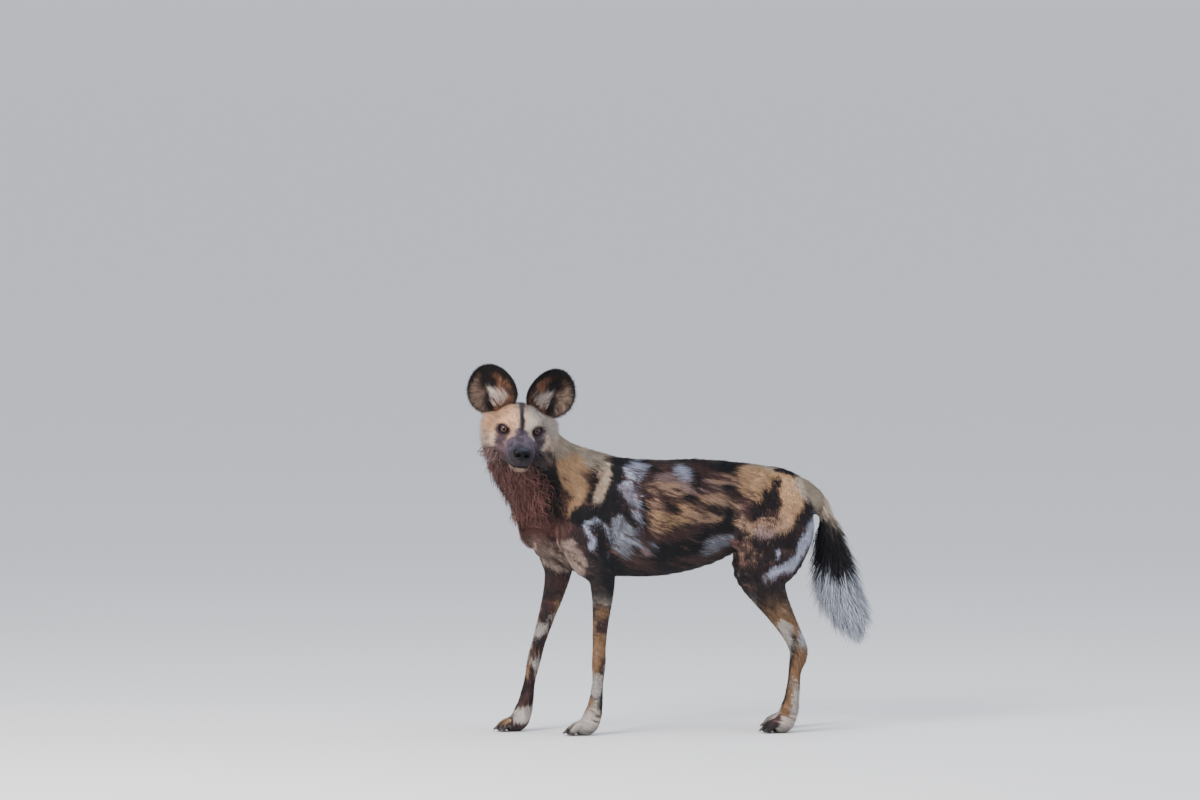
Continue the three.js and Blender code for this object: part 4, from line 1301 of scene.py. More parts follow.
@dataclass(frozen=True)
class Finish:
    """A finish made from painted colours, strand by strand variation and grain.

    Attributes:
        name: the material's name.
        roughness: how dull it is.
        strength: how much the colour varies.
        scale: how fine the variation is, per metre.
        bump: the height of its grain in metres.
        stretch: the grain's scale along each axis.
        sheen: the weight of its soft edge light.
        coat: the weight of a clear wet layer.
        specular: how strongly it mirrors.
    """

    name: str
    roughness: float
    strength: float = 0.3
    scale: float = 700.0
    bump: float = 0.0003
    stretch: tuple[float, float, float] = (1.0, 1.0, 1.0)
    sheen: float = 0.0
    coat: float = 0.0
    specular: float = 0.5

    def build(self, shared: Materials) -> bpy.types.Material:
        """Make the material.

        Args:
            shared: the node groups.

        Returns:
            The material.
        """
        made = bpy.data.materials.new(self.name)
        made.use_nodes = True
        n, link = made.node_tree.nodes, made.node_tree.links.new
        shader = n["Principled BSDF"]
        tint = n.new("ShaderNodeAttribute")
        tint.attribute_name = "coat"
        tone = n.new("ShaderNodeGroup")
        tone.node_tree = shared.strand_tone
        preset(tone, Strength=self.strength, Scale=self.scale)
        link(tint.outputs["Color"], tone.inputs["Color"])
        link(tone.outputs["Color"], shader.inputs["Base Color"])
        grain = n.new("ShaderNodeGroup")
        grain.node_tree = shared.grain
        preset(grain, Scale=self.scale, Height=self.bump, Stretch=self.stretch)
        link(grain.outputs["Normal"], shader.inputs["Normal"])
        least, most = max(self.roughness - 0.08, 0.02), min(self.roughness + 0.08, 1.0)
        dull = preset(n.new("ShaderNodeMapRange"), To_Min=least, To_Max=most)
        link(grain.outputs["Mask"], dull.inputs["Value"])
        link(dull.outputs["Result"], shader.inputs["Roughness"])
        preset(shader, Sheen_Weight=self.sheen, Coat_Weight=self.coat, Coat_Roughness=0.04)
        preset(shader, Specular_IOR_Level=self.specular)
        return made


FINISHES = (
    Finish("fur", roughness=0.6, strength=0.25, scale=900.0, bump=0.0001, sheen=0.04, specular=0.22),
    Finish("hide", roughness=0.75, strength=0.35, scale=420.0, bump=0.0012, specular=0.3),
    Finish("nose leather", roughness=0.36, strength=0.2, scale=1400.0, coat=0.03, specular=0.14),
    Finish("eye", roughness=0.1, strength=0.08, scale=500.0, bump=0.0, coat=0.15, specular=0.15),
    Finish("lid skin", roughness=0.42, strength=0.2, scale=1500.0, bump=0.0002),
    Finish("claw horn", roughness=0.38, strength=0.25, scale=1200.0, bump=0.0001),
)


def attach(piece: bpy.types.Object, material: bpy.types.Material, slot: str, *nodes: str) -> None:
    """Give a piece its finish, and say which solids it stands for.

    Args:
        piece: the mesh object.
        material: its finish.
        slot: the colour slot it belongs to; not used.
        nodes: the solids that it replaces.
    """
    piece.data.materials.append(material)
    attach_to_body(piece, "root")
    if nodes:
        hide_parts(*nodes)
    log.info("%s: %d faces, %s", piece.name, len(piece.data.polygons), material.name)


@dataclass
class Tufts:
    """A batch of hairs or locks that are to grow.

    Attributes:
        root: where each stands, in the working frame.
        normal: the skin's outward direction there.
        lie: the way the hair lies, along the skin.
        length: its length in millimetres.
        width: its width in millimetres.
        lift: degrees it leaves the skin at its root.
        settle: degrees off the lie at its tip.
        curl: sideways wave as a share of the length.
        colour: linear colour.
        place: where it is on the unwrap.
    """

    root: Array
    normal: Array
    lie: Array
    length: Array
    width: Array
    lift: Array
    settle: Array
    curl: Array
    colour: Array
    place: Array

    def take(self, chosen: Array) -> "Tufts":
        """The chosen ones."""
        return Tufts(**{key: value[chosen] for key, value in self.__dict__.items()})

    @staticmethod
    def join(batches: Sequence["Tufts"]) -> "Tufts":
        """Several batches as one."""
        keys = batches[0].__dict__
        return Tufts(**{key: np.concatenate([getattr(b, key) for b in batches]) for key in keys})

    def build(self, name: str, rings: int, rng: np.random.Generator, thin: float = 0.4) -> bpy.types.Object:
        """Grow the batch as one mesh of closed blades.

        Args:
            name: the piece's name.
            rings: cross sections below the tip.
            rng: the random numbers.
            thin: thickness as a share of the width.

        Returns:
            The piece, with its colours and its OFBake map.
        """
        n = len(self.root)
        side = unit(np.cross(self.lie, self.normal))
        lift, settle = np.radians(self.lift)[:, None], np.radians(self.settle)[:, None]
        start = self.lie * np.cos(lift) + self.normal * np.sin(lift)
        end = self.lie * np.cos(settle) + self.normal * np.sin(settle)
        phase = rng.uniform(0, 2 * math.pi, n)
        turns = rng.uniform(0.8, 1.6, n)
        length = self.length[:, None]
        rolled = rng.uniform(-0.5, 0.5, n)[:, None]
        flat = unit(side * np.cos(rolled) + self.normal * np.sin(rolled))

        def at(t: float) -> Array:
            """The middles of all blades at a share t of their length; roots start inside the skin."""
            wave = (np.sin(phase + turns * t * 2 * math.pi) - np.sin(phase))[:, None] * self.curl[:, None] * t
            reach = length * (start * t + (end - start) * t * t / 2 + side * wave)
            return self.root + reach - self.normal * ROOT_DEPTH * (t == 0)

        shares = np.linspace(0, 1, rings + 1)
        points = np.empty((n, rings * 3 + 1, 3))
        tone = np.empty((n, rings * 3 + 1))
        for k in range(rings):
            t = shares[k]
            along = unit(at(t + 0.05) - at(t)) if t else start
            over = unit(np.cross(flat, along))
            width = self.width[:, None] * (0.75 if k == 0 else 1.0 - 0.75 * (t**1.6))
            middle = at(t)
            points[:, 3 * k] = middle + flat * width / 2
            points[:, 3 * k + 1] = middle - flat * width / 2
            points[:, 3 * k + 2] = middle - over * width * thin
            tone[:, 3 * k : 3 * k + 3] = 0.72 + 0.34 * t
        points[:, -1] = at(1.0)
        points[:, :, 2] = np.maximum(points[:, :, 2], FLOOR_CLEAR)
        tone[:, -1] = 1.12
        faces = [(0, 1, 2)]
        for k in range(rings - 1):
            for j in range(3):
                a, b = 3 * k + j, 3 * k + (j + 1) % 3
                faces += [(a, a + 3, b), (b, a + 3, b + 3)]
        top = 3 * (rings - 1)
        faces += [(top + j, 3 * rings, top + (j + 1) % 3) for j in range(3)]
        faces = (np.array(faces)[None] + (np.arange(n) * (rings * 3 + 1))[:, None, None]).reshape(-1, 3)
        piece = make_object(name, points.reshape(-1, 3), faces)
        own = np.clip(rng.normal(1.0, 0.19, n), 0.5, 1.6)[:, None] * tone
        paint(piece, "coat", (self.colour[:, None, :] * own[:, :, None]).reshape(-1, 3))
        spread = rng.uniform(-0.5, 0.5, (n, rings * 3 + 1, 2)) * PATCH
        place_unwrap(piece, (self.place[:, None, :] + spread).reshape(-1, 2))
        return piece


FLESH = (
    "torso", "neck", "head", "jaw", "foreleg_left", "foreleg_right", "hindleg_left", "hindleg_right",
    "forepaw_left", "forepaw_right", "hindpaw_left", "hindpaw_right", "tail", "tail_tip",
)
COAT_SLOTS = {
    "ruff": "coat_throat",
    "neck": "coat_throat",
    "face": "coat_face",
    "leg": "coat_legs",
    "tail": "tail_plume",
}


@dataclass
class Skin:
    """The one skin under the coat, with what the coat needs to know at its points."""

    anatomy: Anatomy
    markings: Markings

    def build(self) -> bpy.types.Object:
        """Mesh the whole animal as one form, a coat's depth inside the solids.

        Returns:
            The skin, painted.
        """
        grid = SkinGrid()
        body = self.anatomy
        grid.add_limb(body.limbs[Region.TRUNK], 1.0, 50)
        grid.add_limb(body.limbs[Region.NECK], 46.0, 50)
        for region in (Region.FORELEG_LEFT, Region.FORELEG_RIGHT, Region.HINDLEG_LEFT, Region.HINDLEG_RIGHT):
            grid.add_limb(body.limbs[region], 30.0, 32)
        grid.add_limb(body.limbs[Region.TAIL], 26.0, 28)
        for foot in body.feet:
            low, high = foot + [-80, -45, -6], foot + [45, 45, 86]
            grid.add(lambda p, f=foot: body.paw_field(p - f), low, high, 10.0)
        head = body.head
        corners = np.array([[x, y, z] for x in (-150, 125) for y in (-110, 110) for z in (-115, 75)], float)
        placed = head.world(corners)
        grid.add(lambda p: body.head_field(head.local(p)), placed.min(0), placed.max(0), 24.0)
        everywhere = grid.places(tuple(slice(None) for _ in range(3)))
        grid.values += self.depth(everywhere).reshape(grid.values.shape).astype(np.float32)
        points, quads = grid.mesh()
        self.points = points
        log.info("skin: %d points, %d quads", len(points), len(quads))
        piece = make_object("dog_skin", points, quads)
        normals = np.empty(len(points) * 3, np.float32)
        piece.data.vertices.foreach_get("normal", normals)
        self.normals = normals.reshape(-1, 3).astype(float)
        paint(piece, "coat", self.markings.colour(points) * 0.8)
        self.piece = piece
        return piece

    def depth(self, p: Array) -> Array:
        """How far the skin lies inside the solids: deep on the body, shallow on face and feet.

        Args:
            p: points in the working frame.

        Returns:
            Depths in millimetres.
        """
        q = self.anatomy.head.local(p)
        near_head = ramp(70, 10, np.linalg.norm(q - np.array([10.0, 0, -20]), axis=1) - 60)
        base = 4.2 * ramp(60, 160, p[:, 2]) + 0.8
        return base * (1 - near_head) + 1.6 * near_head

    def dress(self, finishes: Materials) -> None:
        """Build the skin, which stands for all solids of flesh, and dress it."""
        attach(self.build(), finishes.made["hide"], "coat_trunk", *FLESH)


@dataclass(frozen=True)
class CoatKind:
    """How the hair of one part grows.

    Attributes:
        spacing: millimetres between roots.
        length: millimetres.
        width: millimetres.
        lift: degrees at the root.
        settle: degrees at the tip.
        curl: sideways wave as a share of the length.
    """

    spacing: float
    length: float
    width: float
    lift: float
    settle: float
    curl: float


@dataclass
class Coat:
    """All the fur that grows on the skin.

    Attributes:
        skin: the skin it grows on.
        seed: starts the random numbers.
        ruff_tone: how light the coat may be where locks of the ruff grow.
        most: the most tufts in one piece.
        kinds: how the hair of each region grows.
    """

    skin: Skin
    seed: int = 7
    ruff_tone: float = 0.42
    most: int = 48000
    kinds: dict = field(
        default_factory=lambda: {
            Region.TRUNK: CoatKind(2.0, 20, 1.7, 11, 4, 0.07),
            Region.NECK: CoatKind(2.0, 23, 1.6, 15, 6, 0.09),
            Region.FORELEG_LEFT: CoatKind(2.15, 10, 1.5, 11, 4, 0.06),
            Region.FORELEG_RIGHT: CoatKind(2.25, 10, 1.6, 11, 4, 0.06),
            Region.HINDLEG_LEFT: CoatKind(2.15, 13, 1.6, 11, 4, 0.06),
            Region.HINDLEG_RIGHT: CoatKind(2.3, 13, 1.7, 11, 4, 0.06),
            Region.TAIL: CoatKind(2.7, 40, 2.8, 24, 6, 0.06),
            Region.HEAD: CoatKind(1.35, 7, 0.8, 13, 5, 0.06),
        }
    )

    def __post_init__(self) -> None:
        """Start the random numbers."""
        self.rng = np.random.default_rng(self.seed)

    def regions(self, p: Array) -> tuple[Array, Array, Array, Array]:
        """Region, share along, turn and lie direction at points.

        Args:
            p: points in the working frame.

        Returns:
            One row per point of each.
        """
        body = self.skin.anatomy
        n = len(p)
        best = np.full(n, 1e9)
        region = np.zeros(n, int)
        t = np.zeros(n)
        turn = np.zeros(n)
        total = np.zeros((n, 3))
        weights = np.zeros(n)
        ways = {
            Region.TRUNK: lambda a: a * 0.85 + np.array([0, 0, -0.42]),
            Region.NECK: lambda a: -a * 0.75 + np.array([0.38, 0, -0.5]),
            Region.TAIL: lambda a: a,
        }
        for kind, limb in body.limbs.items():
            d, along, around, axis = limb.nearest(p)
            closer = d < best
            best[closer], region[closer] = d[closer], kind.value
            t[closer], turn[closer] = along[closer], around[closer]
            way = ways.get(kind, lambda a: a * 0.9 + np.array([0.16, 0, 0]))(axis)
            w = np.exp(-np.clip(d, -20, 200) / 9)
            total += unit(way) * w[:, None]
            weights += w
        q = body.head.local(p)
        d, along, around, _ = body.head_run.nearest(q)
        closer = d - 4 < best
        region[closer], t[closer], turn[closer] = Region.HEAD.value, along[closer], around[closer]
        side = np.sign(q[:, 1]) * ramp(4, 26, np.abs(q[:, 1]))
        way = np.stack([-np.ones(n), 0.45 * side, -0.12 - 0.5 * ramp(-5, -45, q[:, 2])], -1)
        w = np.exp(-np.clip(d - 4, -20, 200) / 9)
        total += unit(body.head.way(way)) * w[:, None]
        weights += w
        return region, t, turn, total / weights[:, None]

    def sample(self) -> Tufts:
        """Choose roots all over the skin and say how each tuft grows.

        Returns:
            The tufts of the whole skin.
        """
        mesh = self.skin.piece.data
        count = len(mesh.polygons)
        corners = np.empty(len(mesh.loops), np.int32)
        mesh.loops.foreach_get("vertex_index", corners)
        quads = corners.reshape(count, 4)
        pts = self.skin.points
        centre = pts[quads].mean(1)
        one, two = pts[quads[:, 2]] - pts[quads[:, 0]], pts[quads[:, 3]] - pts[quads[:, 1]]
        area = np.linalg.norm(np.cross(one, two), axis=1) / 2
        region, _, _, _ = self.regions(centre)
        spacing = np.array([self.kinds[r].spacing for r in Region])[region]
        hope = area / spacing**2
        each = np.floor(hope + self.rng.random(count)).astype(int)
        face = np.repeat(np.arange(count), each)
        a, b = self.rng.random(len(face)), self.rng.random(len(face))
        q = quads[face]
        w = np.stack([(1 - a) * (1 - b), a * (1 - b), a * b, (1 - a) * b], -1)
        root = np.einsum("nk,nkj->nj", w, pts[q])
        normal = unit(np.einsum("nk,nkj->nj", w, self.skin.normals[q]))
        return self.describe(root, normal)

    def describe(self, root: Array, normal: Array) -> Tufts:
        """Give each root its length, width, lie, colour and place.

        Args:
            root: roots on the skin.
            normal: the skin's normals there.

        Returns:
            The tufts.
        """
        region, t, turn, lie = self.regions(root)
        self.region = region
        kinds = [self.kinds[r] for r in Region]
        pick = lambda key: np.array([getattr(k, key) for k in kinds])[region]
        swirl = 0.32 * noise(root, 38, 91) + 0.2 * noise(root, 13, 92) + 0.12 * noise(root, 6, 95)
        lie = lie + np.cross(normal, lie) * swirl[:, None]
        lie = laid(lie, normal)
        n = len(root)
        length = pick("length") * self.rng.uniform(0.75, 1.2, n) * (1 + 0.22 * noise(root, 17, 93))
        width = pick("width") * self.rng.uniform(0.75, 1.2, n)
        lift = pick("lift") * self.rng.uniform(0.6, 1.4, n) + 4 * noise(root, 15, 94)
        settle, curl = pick("settle"), pick("curl")
        q = self.skin.anatomy.head.local(root)
        back = ramp(60, 20, np.abs(root[:, 1])) * ramp(640, 660, root[:, 2]) * (region == 0)
        length = length * (1 + 0.15 * back)
        feet = ramp(75, 30, root[:, 2])
        length = length * (1 - 0.7 * feet)
        width = width * (1 - 0.35 * feet)
        muzzle = ramp(5, 55, q[:, 0]) * (region == Region.HEAD.value)
        length, width = length * (1 - 0.45 * muzzle), width * (1 - 0.25 * muzzle)
        cheek = ramp(0, -36, q[:, 0]) * ramp(40, 66, np.abs(q[:, 1])) * ramp(34, 8, q[:, 2])
        cheek = cheek * (region == Region.HEAD.value)
        length, lift = length * (1 + 3.0 * cheek), lift + 42 * cheek * self.rng.uniform(0.3, 1.7, n)
        width = width * (1 + 0.5 * cheek)
        settle = settle + 30 * cheek * self.rng.uniform(0, 1, n)
        loose = np.where(region == Region.HEAD.value, 0.3, 1.0)[:, None]
        jitter = root + loose * (lie * self.rng.normal(0, 5.5, n)[:, None] + self.rng.normal(0, 0.9, (n, 3)))
        colour = self.skin.markings.colour(jitter)
        place = np.zeros((n, 2))
        for r in Region:
            chosen = region == r.value
            place[chosen] = in_tile(TILES[r], t[chosen], turn[chosen])
        return Tufts(root, normal, lie, length, width, lift, settle, curl, colour, place)

    def keep(self, tufts: Tufts) -> Array:
        """Where hair grows at all: not on soles, eyes, lips or nose.

        Args:
            tufts: the tufts of the whole skin.

        Returns:
            True where a tuft stays.
        """
        body = self.skin.anatomy
        q = body.head.local(tufts.root)
        bare = tufts.root[:, 2] < 2.5
        for side in (1, -1):
            eye = np.linalg.norm(q - body.eye_centre(side), axis=1)
            bare |= eye < body.eye_radius + 1.6
        bare |= egg(q, (98, 0, -33), (16, 23, 19)) < 0
        lip = (np.abs(q[:, 2] - body.mouth_line(q[:, 0])) < 1.6) & (q[:, 0] > 24) & (np.abs(q[:, 1]) < 60)
        return ~(bare | lip)

    def ruff(self) -> Tufts:
        """Longer, curlier, matted locks on throat and cheeks.

        Returns:
            The locks.
        """
        tufts = self.all
        _, t, turn, _ = self.skin.anatomy.limbs[Region.NECK].nearest(tufts.root)
        degrees = np.degrees(turn)
        throat = ramp(-30, 10, degrees)
        throat = throat * ramp(215, 180, np.where(degrees < -90, degrees + 360, degrees))
        wanted = 0.27 * throat * ramp(0.06, 0.42, t)
        chosen = (self.region == Region.NECK.value) & (self.rng.random(len(t)) < wanted)
        q = self.skin.anatomy.head.local(tufts.root)
        x, y, z = q[:, 0], q[:, 1], q[:, 2]
        jaw = ramp(-30, -44, z) * ramp(36, 50, np.abs(y)) * ramp(4, -10, x)
        jaw = jaw * (self.region == Region.HEAD.value)
        chosen |= self.rng.random(len(t)) < 0.1 * jaw
        chosen &= self.all.colour.sum(axis=1) < self.ruff_tone
        jaw = jaw[chosen]
        made = tufts.take(chosen)
        n = len(made.root)
        share = np.maximum(throat[chosen], jaw)
        grown = np.maximum(0.45 + 0.55 * ramp(0.08, 0.4, t[chosen]), 0.75 * (jaw > 0))
        made.length = self.rng.uniform(30, 58, n) * (0.5 + 0.5 * share) * grown
        made.width = self.rng.uniform(1.8, 3.8, n)
        made.lift = self.rng.uniform(20, 52, n)
        made.settle = self.rng.uniform(-6, 26, n)
        made.curl = self.rng.uniform(0.1, 0.34, n)
        down = np.array([0, 0, -1.0]) * 0.5
        sideways = np.stack([0 * jaw, np.sign(y[chosen]) * jaw, -0.6 * jaw], -1)
        sideways = self.skin.anatomy.head.way(sideways)
        lie = made.lie * 0.9 + down + 1.4 * sideways + self.rng.normal(0, 0.22, (n, 3))
        made.lie = laid(lie, made.normal)
        return made

    def brush(self) -> Tufts:
        """The long hair of the tail's brush.

        Returns:
            The tufts of the tail.
        """
        limb = self.skin.anatomy.limbs[Region.TAIL]
        tufts = self.all.take(self.region == Region.TAIL.value)
        _, t, _, along = limb.nearest(tufts.root)
        n, facing = len(t), tufts.normal[:, 0]
        rear = ramp(-0.5, 0.8, facing)
        grown = np.interp(t, [0, 0.15, 0.3, 0.6, 1.0], [18, 32, 70, 84, 84])
        raised = np.interp(t, [0, 0.2, 0.4, 0.6, 1.0], [12, 20, 30, 32, 24])
        tufts.length = grown * self.rng.uniform(0.7, 1.1, n)
        tufts.lift = raised * self.rng.uniform(0.6, 1.3, n)
        under = ramp(0.1, -0.8, facing) * ramp(0.16, 0.34, t) * ramp(0.95, 0.6, t)
        tufts.lift = tufts.lift * (0.75 + 0.45 * rear + 0.75 * under)
        tufts.settle = np.where(t > 0.15, 6.0 + 6.0 * rear + 16.0 * under, 4.0)
        tufts.width = np.interp(t, [0, 0.4, 1], [1.7, 2.4, 2.9]) * self.rng.uniform(0.7, 1.2, n)
        lie = along + np.array([0, 0, -0.25]) + self.rng.normal(0, 0.07, (n, 3))
        tufts.lie = laid(lie, tufts.normal)
        reach = tufts.lie * (tufts.length * self.rng.uniform(0.3, 0.7, n))[:, None]
        tufts.colour = self.skin.markings.colour(tufts.root + reach * ramp(0.2, 0.4, t)[:, None])
        return tufts

    def build(self) -> list[bpy.types.Object]:
        """Grow the whole coat in pieces.

        Returns:
            The pieces of the coat.
        """
        self.all = self.sample()
        kept = self.keep(self.all)
        self.all, self.region = self.all.take(kept), self.region[kept]
        log.info("tufts: %d", len(self.region))
        pieces = [self.ruff().build("coat_ruff", 5, self.rng, 0.35)]
        pieces.append(self.brush().build("coat_tail", 4, self.rng, 0.3))
        groups = {
            "coat_trunk": (Region.TRUNK,),
            "coat_neck": (Region.NECK,),
            "coat_forelegs": (Region.FORELEG_LEFT, Region.FORELEG_RIGHT),
            "coat_hindlegs": (Region.HINDLEG_LEFT, Region.HINDLEG_RIGHT),
            "coat_face": (Region.HEAD,),
        }
        for name, members in groups.items():
            index = np.flatnonzero(np.isin(self.region, [m.value for m in members]))
            parts = max(1, math.ceil(len(index) / self.most))
            order = index[np.argsort(self.all.root[index, 0], kind="stable")]
            for k, chosen in enumerate(np.array_split(order, parts)):
                label = name if parts == 1 else f"{name}_{k + 1}"
                pieces.append(self.all.take(chosen).build(label, 1, self.rng))
        return pieces

    def dress(self, finishes: Materials) -> None:
        """Grow the coat and dress each piece in fur.

        Args:
            finishes: the materials.
        """
        for piece in self.build():
            slots = [slot for word, slot in COAT_SLOTS.items() if word in piece.name]
            attach(piece, finishes.made["fur"], slots[0] if slots else "coat_trunk")


@dataclass(frozen=True)
class EarHair:
    """How one kind of the ear's hair grows, in millimetres and degrees.

    Attributes:
        outward: how strongly it lies towards the rim.
        length: shortest and longest.
        width: thinnest and thickest.
        lift: least and most at the root.
        settle: degrees at the tip.
        pull: a lean in the ear's own frame.
        colour: its hex colour, or 0 for that of the ear below it.
    """

    outward: float
    length: tuple[float, float]
    width: tuple[float, float]
    lift: tuple[float, float]
    settle: float
    pull: tuple[float, float, float] = (0.0, 0.0, 0.0)
    colour: int = 0


EAR_BACK_HAIR = EarHair(0.9, (6, 9), (1.0, 1.5), (8, 16), 4)
EAR_INNER_HAIR = EarHair(0.8, (8, 16), (0.8, 1.3), (8, 22), 3)
EAR_FRINGE = EarHair(1.0, (3, 6.5), (0.6, 1.1), (-20, 20), 0)
EAR_TUFT = EarHair(-0.35, (14, 42), (0.8, 1.4), (8, 36), 5, (0.22, 0.9, 0.2), Tint.EAR_TUFT)


@dataclass
class Ear:
    """One round cupped ear.

    Attributes:
        anatomy: the animal.
        side: 1 for the dog's left, -1 for its right.
    """

    anatomy: Anatomy
    side: int
    width: float = 122.0
    height: float = 130.0
    root: tuple[float, float, float] = (-64.0, 52.0, 34.0)
    lean: float = 20.0
    turn: float = 12.0
    depth: float = 30.0
    centre: tuple[float, float] = (4.0, 46.0)
    pocket: tuple[float, float] = (12.0, 30.0)
    rim_turns: tuple = (0, 35, 70, 110, 150, 200, 235, 290, 360)
    rim_bands: tuple = (0.06, 0.13, 0.27, 0.32, 0.27, 0.18, 0.06, 0.04, 0.06)
    around: int = 96
    hoops: int = 22

    def __post_init__(self) -> None:
        """Work out the ear's own frame on the head."""
        lean, turn = math.radians(self.lean), math.radians(self.turn)
        upward = np.array([0, math.sin(lean), math.cos(lean)])
        outward = np.array([-math.sin(turn), math.cos(lean) * math.cos(turn), -math.sin(lean)])
        outward = unit(outward - upward * (outward @ upward))
        self.axes = np.stack([outward, upward, np.cross(outward, upward)])

    def to_world(self, p: Array) -> Array:
        """Points of the ear's frame in the working frame."""
        q = p @ self.axes + np.array(self.root)
        return self.anatomy.head.world(q * np.array([1.0, self.side, 1.0]))

    def way_to_world(self, v: Array) -> Array:
        """Directions of the ear's frame in the working frame."""
        return self.anatomy.head.way((v @ self.axes) * np.array([1.0, self.side, 1.0]))

    def surface(self, turn: Array, out: Array, thick: Array) -> Array:
        """Places on the ear: round it, from the pocket out to the rim, and through its thickness.

        Args:
            turn: angle round the ear.
            out: share from the pocket to the rim.
            thick: depth behind the inner face.

        Returns:
            Places in the ear's frame.
        """
        lift = np.sin(turn)
        low = np.where(lift < 0, 0.94, 1.0)
        ex = self.centre[0] + self.width / 2 * np.cos(turn) * (1 - 0.06 * lift)
        ey = self.centre[1] + self.height / 2 * lift * low
        ez = 5 * np.cos(2 * turn) - 4 * np.cos(turn)
        swell = -self.depth * (1 - out**2.2) - thick
        fold = 2.2 * np.sin(5 * turn + 0.7) * out * (1 - out) + 1.1 * np.sin(11 * turn) * out**2 * (1 - out)
        return np.stack(
            [
                self.pocket[0] + (ex - self.pocket[0]) * out,
                self.pocket[1] + (ey - self.pocket[1]) * out,
                ez * out * out + swell + fold,
            ],
            -1,
        )

    def colour(self, turn: Array, out: Array, inner: bool) -> Array:
        """Colours of the ear in linear values.

        Args:
            turn: angle round the ear.
            out: share from the pocket to the rim.
            inner: true for the inner face.

        Returns:
            Colours, one per row.
        """
        p = self.surface(turn, out, np.zeros_like(out))
        rough = noise(p * np.array([1.0, 0.35, 1.0]), 5, 101 + self.side)
        wave = noise(p, 17, 103 + self.side)
        if not inner:
            tawny = ramp(0.0, 0.7, wave + 0.4 * rough)
            shade = mix(Tint.EAR_BACK, Tint.EAR_BACK_TAWNY, tawny)
            return mix(shade, Tint.EAR_BACK_RIM, ramp(0.85, 0.97, out))
        x, y = p[:, 0], p[:, 1]
        fine = noise(np.stack([np.cos(turn) * 24, np.sin(turn) * 24, out * 5], -1), 0.7, 107 + self.side)
        brown = ramp(-0.3, 0.6, wave + 0.5 * rough)
        shade = mix(Tint.EAR_WARM, Tint.EAR_BROWN, brown)
        shade = mix(shade, Tint.EAR_PALE, ramp(16, 40, x + 8 * wave))
        shade = mix(shade, Tint.EAR_STREAK, 0.75 * ramp(-0.2, 0.5, fine + 0.3 * rough))
        # Painted shade in the hollow of the ear's cup.
        deep = np.minimum(
            np.hypot((x - 14) / 20, (y - 62) / 29),
            np.hypot((x - 27 + 0.15 * y) / 13, (y - 18) / 30),
        )
        shade = mix(shade, Tint.EAR_DEEP, ramp(1.4, 0.55, deep + 0.26 * wave + 0.26 * fine))
        band = np.interp(np.degrees(turn) % 360, self.rim_turns, self.rim_bands)
        edge = out + 0.05 * rough + 0.05 * fine
        return mix(shade, Tint.EAR_RIM, ramp(1 - band - 0.16, 1 - band + 0.06, edge))

    def thickness(self, out: Array) -> Array:
        """How thick the ear is from the pocket to the rim."""
        return 2.2 + 5.0 * (1 - out)

    def build(self) -> bpy.types.Object:
        """Mesh the ear as one closed dish.

        Returns:
            The dish, painted.
        """
        turn = np.linspace(0, 2 * math.pi, self.around, endpoint=False)
        out = np.linspace(0, 1, self.hoops + 1)[1:] ** 0.9
        grid_out, grid_turn = np.meshgrid(out, turn, indexing="ij")
        t, o = grid_turn.ravel(), grid_out.ravel()
        zero = np.zeros(1)
        layers, colours = [], []
        for thick, inner in ((np.zeros_like(o), True), (self.thickness(o), False)):
            deep = self.thickness(zero) * (not inner)
            layers += [self.surface(t, o, thick), self.surface(zero, zero, deep)]
            colours += [self.colour(t, o, inner), self.colour(zero, zero, inner)]
        points = self.to_world(np.concatenate(layers))
        n, size = self.around, self.hoops * self.around + 1
        ring = np.arange(n)
        faces = [fan(size - 1, ring), fan(2 * size - 1, size + ring, flip=True)]
        for i in range(self.hoops - 1):
            a = i * n + ring
            faces += strip(a, a + n)
            faces += strip(size + a, size + a + n, flip=True)
        rim = (self.hoops - 1) * n + ring
        faces += strip(rim, size + rim)
        faces = np.concatenate(faces)
        if self.side < 0:
            faces = faces[:, ::-1]
        name = "ear_left_skin" if self.side > 0 else "ear_right_skin"
        piece = make_object(name, points, faces)
        paint(piece, "coat", np.concatenate(colours) * 0.85)
        return piece

    def hair(self, rng: np.random.Generator, turn: Array, out: Array, inner: bool, kind: EarHair) -> Tufts:
        """Let one kind of hair grow at places on the ear.

        Args:
            rng: the random numbers.
            turn: angles round the ear.
            out: shares from the pocket to the rim.
            inner: true for the inner face.
            kind: how it grows.

        Returns:
            The tufts.
        """
        n = len(turn)
        thick = np.zeros(n) if inner else self.thickness(out)
        eps = 1e-3
        p = self.surface(turn, out, thick)
        du = self.surface(turn + eps, out, thick) - p
        dv = self.surface(turn, out + eps, thick) - p
        normal = unit(np.cross(dv, du)) * (1 if inner else -1)
        outward = np.sum(normal * [0, 0, 1 if inner else -1], axis=1)
        normal = normal * np.where(outward < 0, -1, 1)[:, None]
        lie = unit(dv) * kind.outward + unit(du) * rng.normal(0, 0.25, n)[:, None] + np.array(kind.pull)
        lie = laid(lie, normal)
        tint = srgb(kind.colour) if kind.colour else self.colour(turn, np.clip(out, 0, 1), inner)
        return Tufts(
            self.to_world(p),
            self.way_to_world(normal),
            self.way_to_world(lie),
            rng.uniform(*kind.length, n),
            rng.uniform(*kind.width, n),
            rng.uniform(*kind.lift, n),
            np.full(n, kind.settle),
            np.full(n, 0.06),
            np.broadcast_to(tint, (n, 3)) * rng.uniform(0.85, 1.2, n)[:, None],
            in_tile(EAR_TILE, 0.5 * out + (0.0 if self.side > 0 else 0.5), turn),
        )

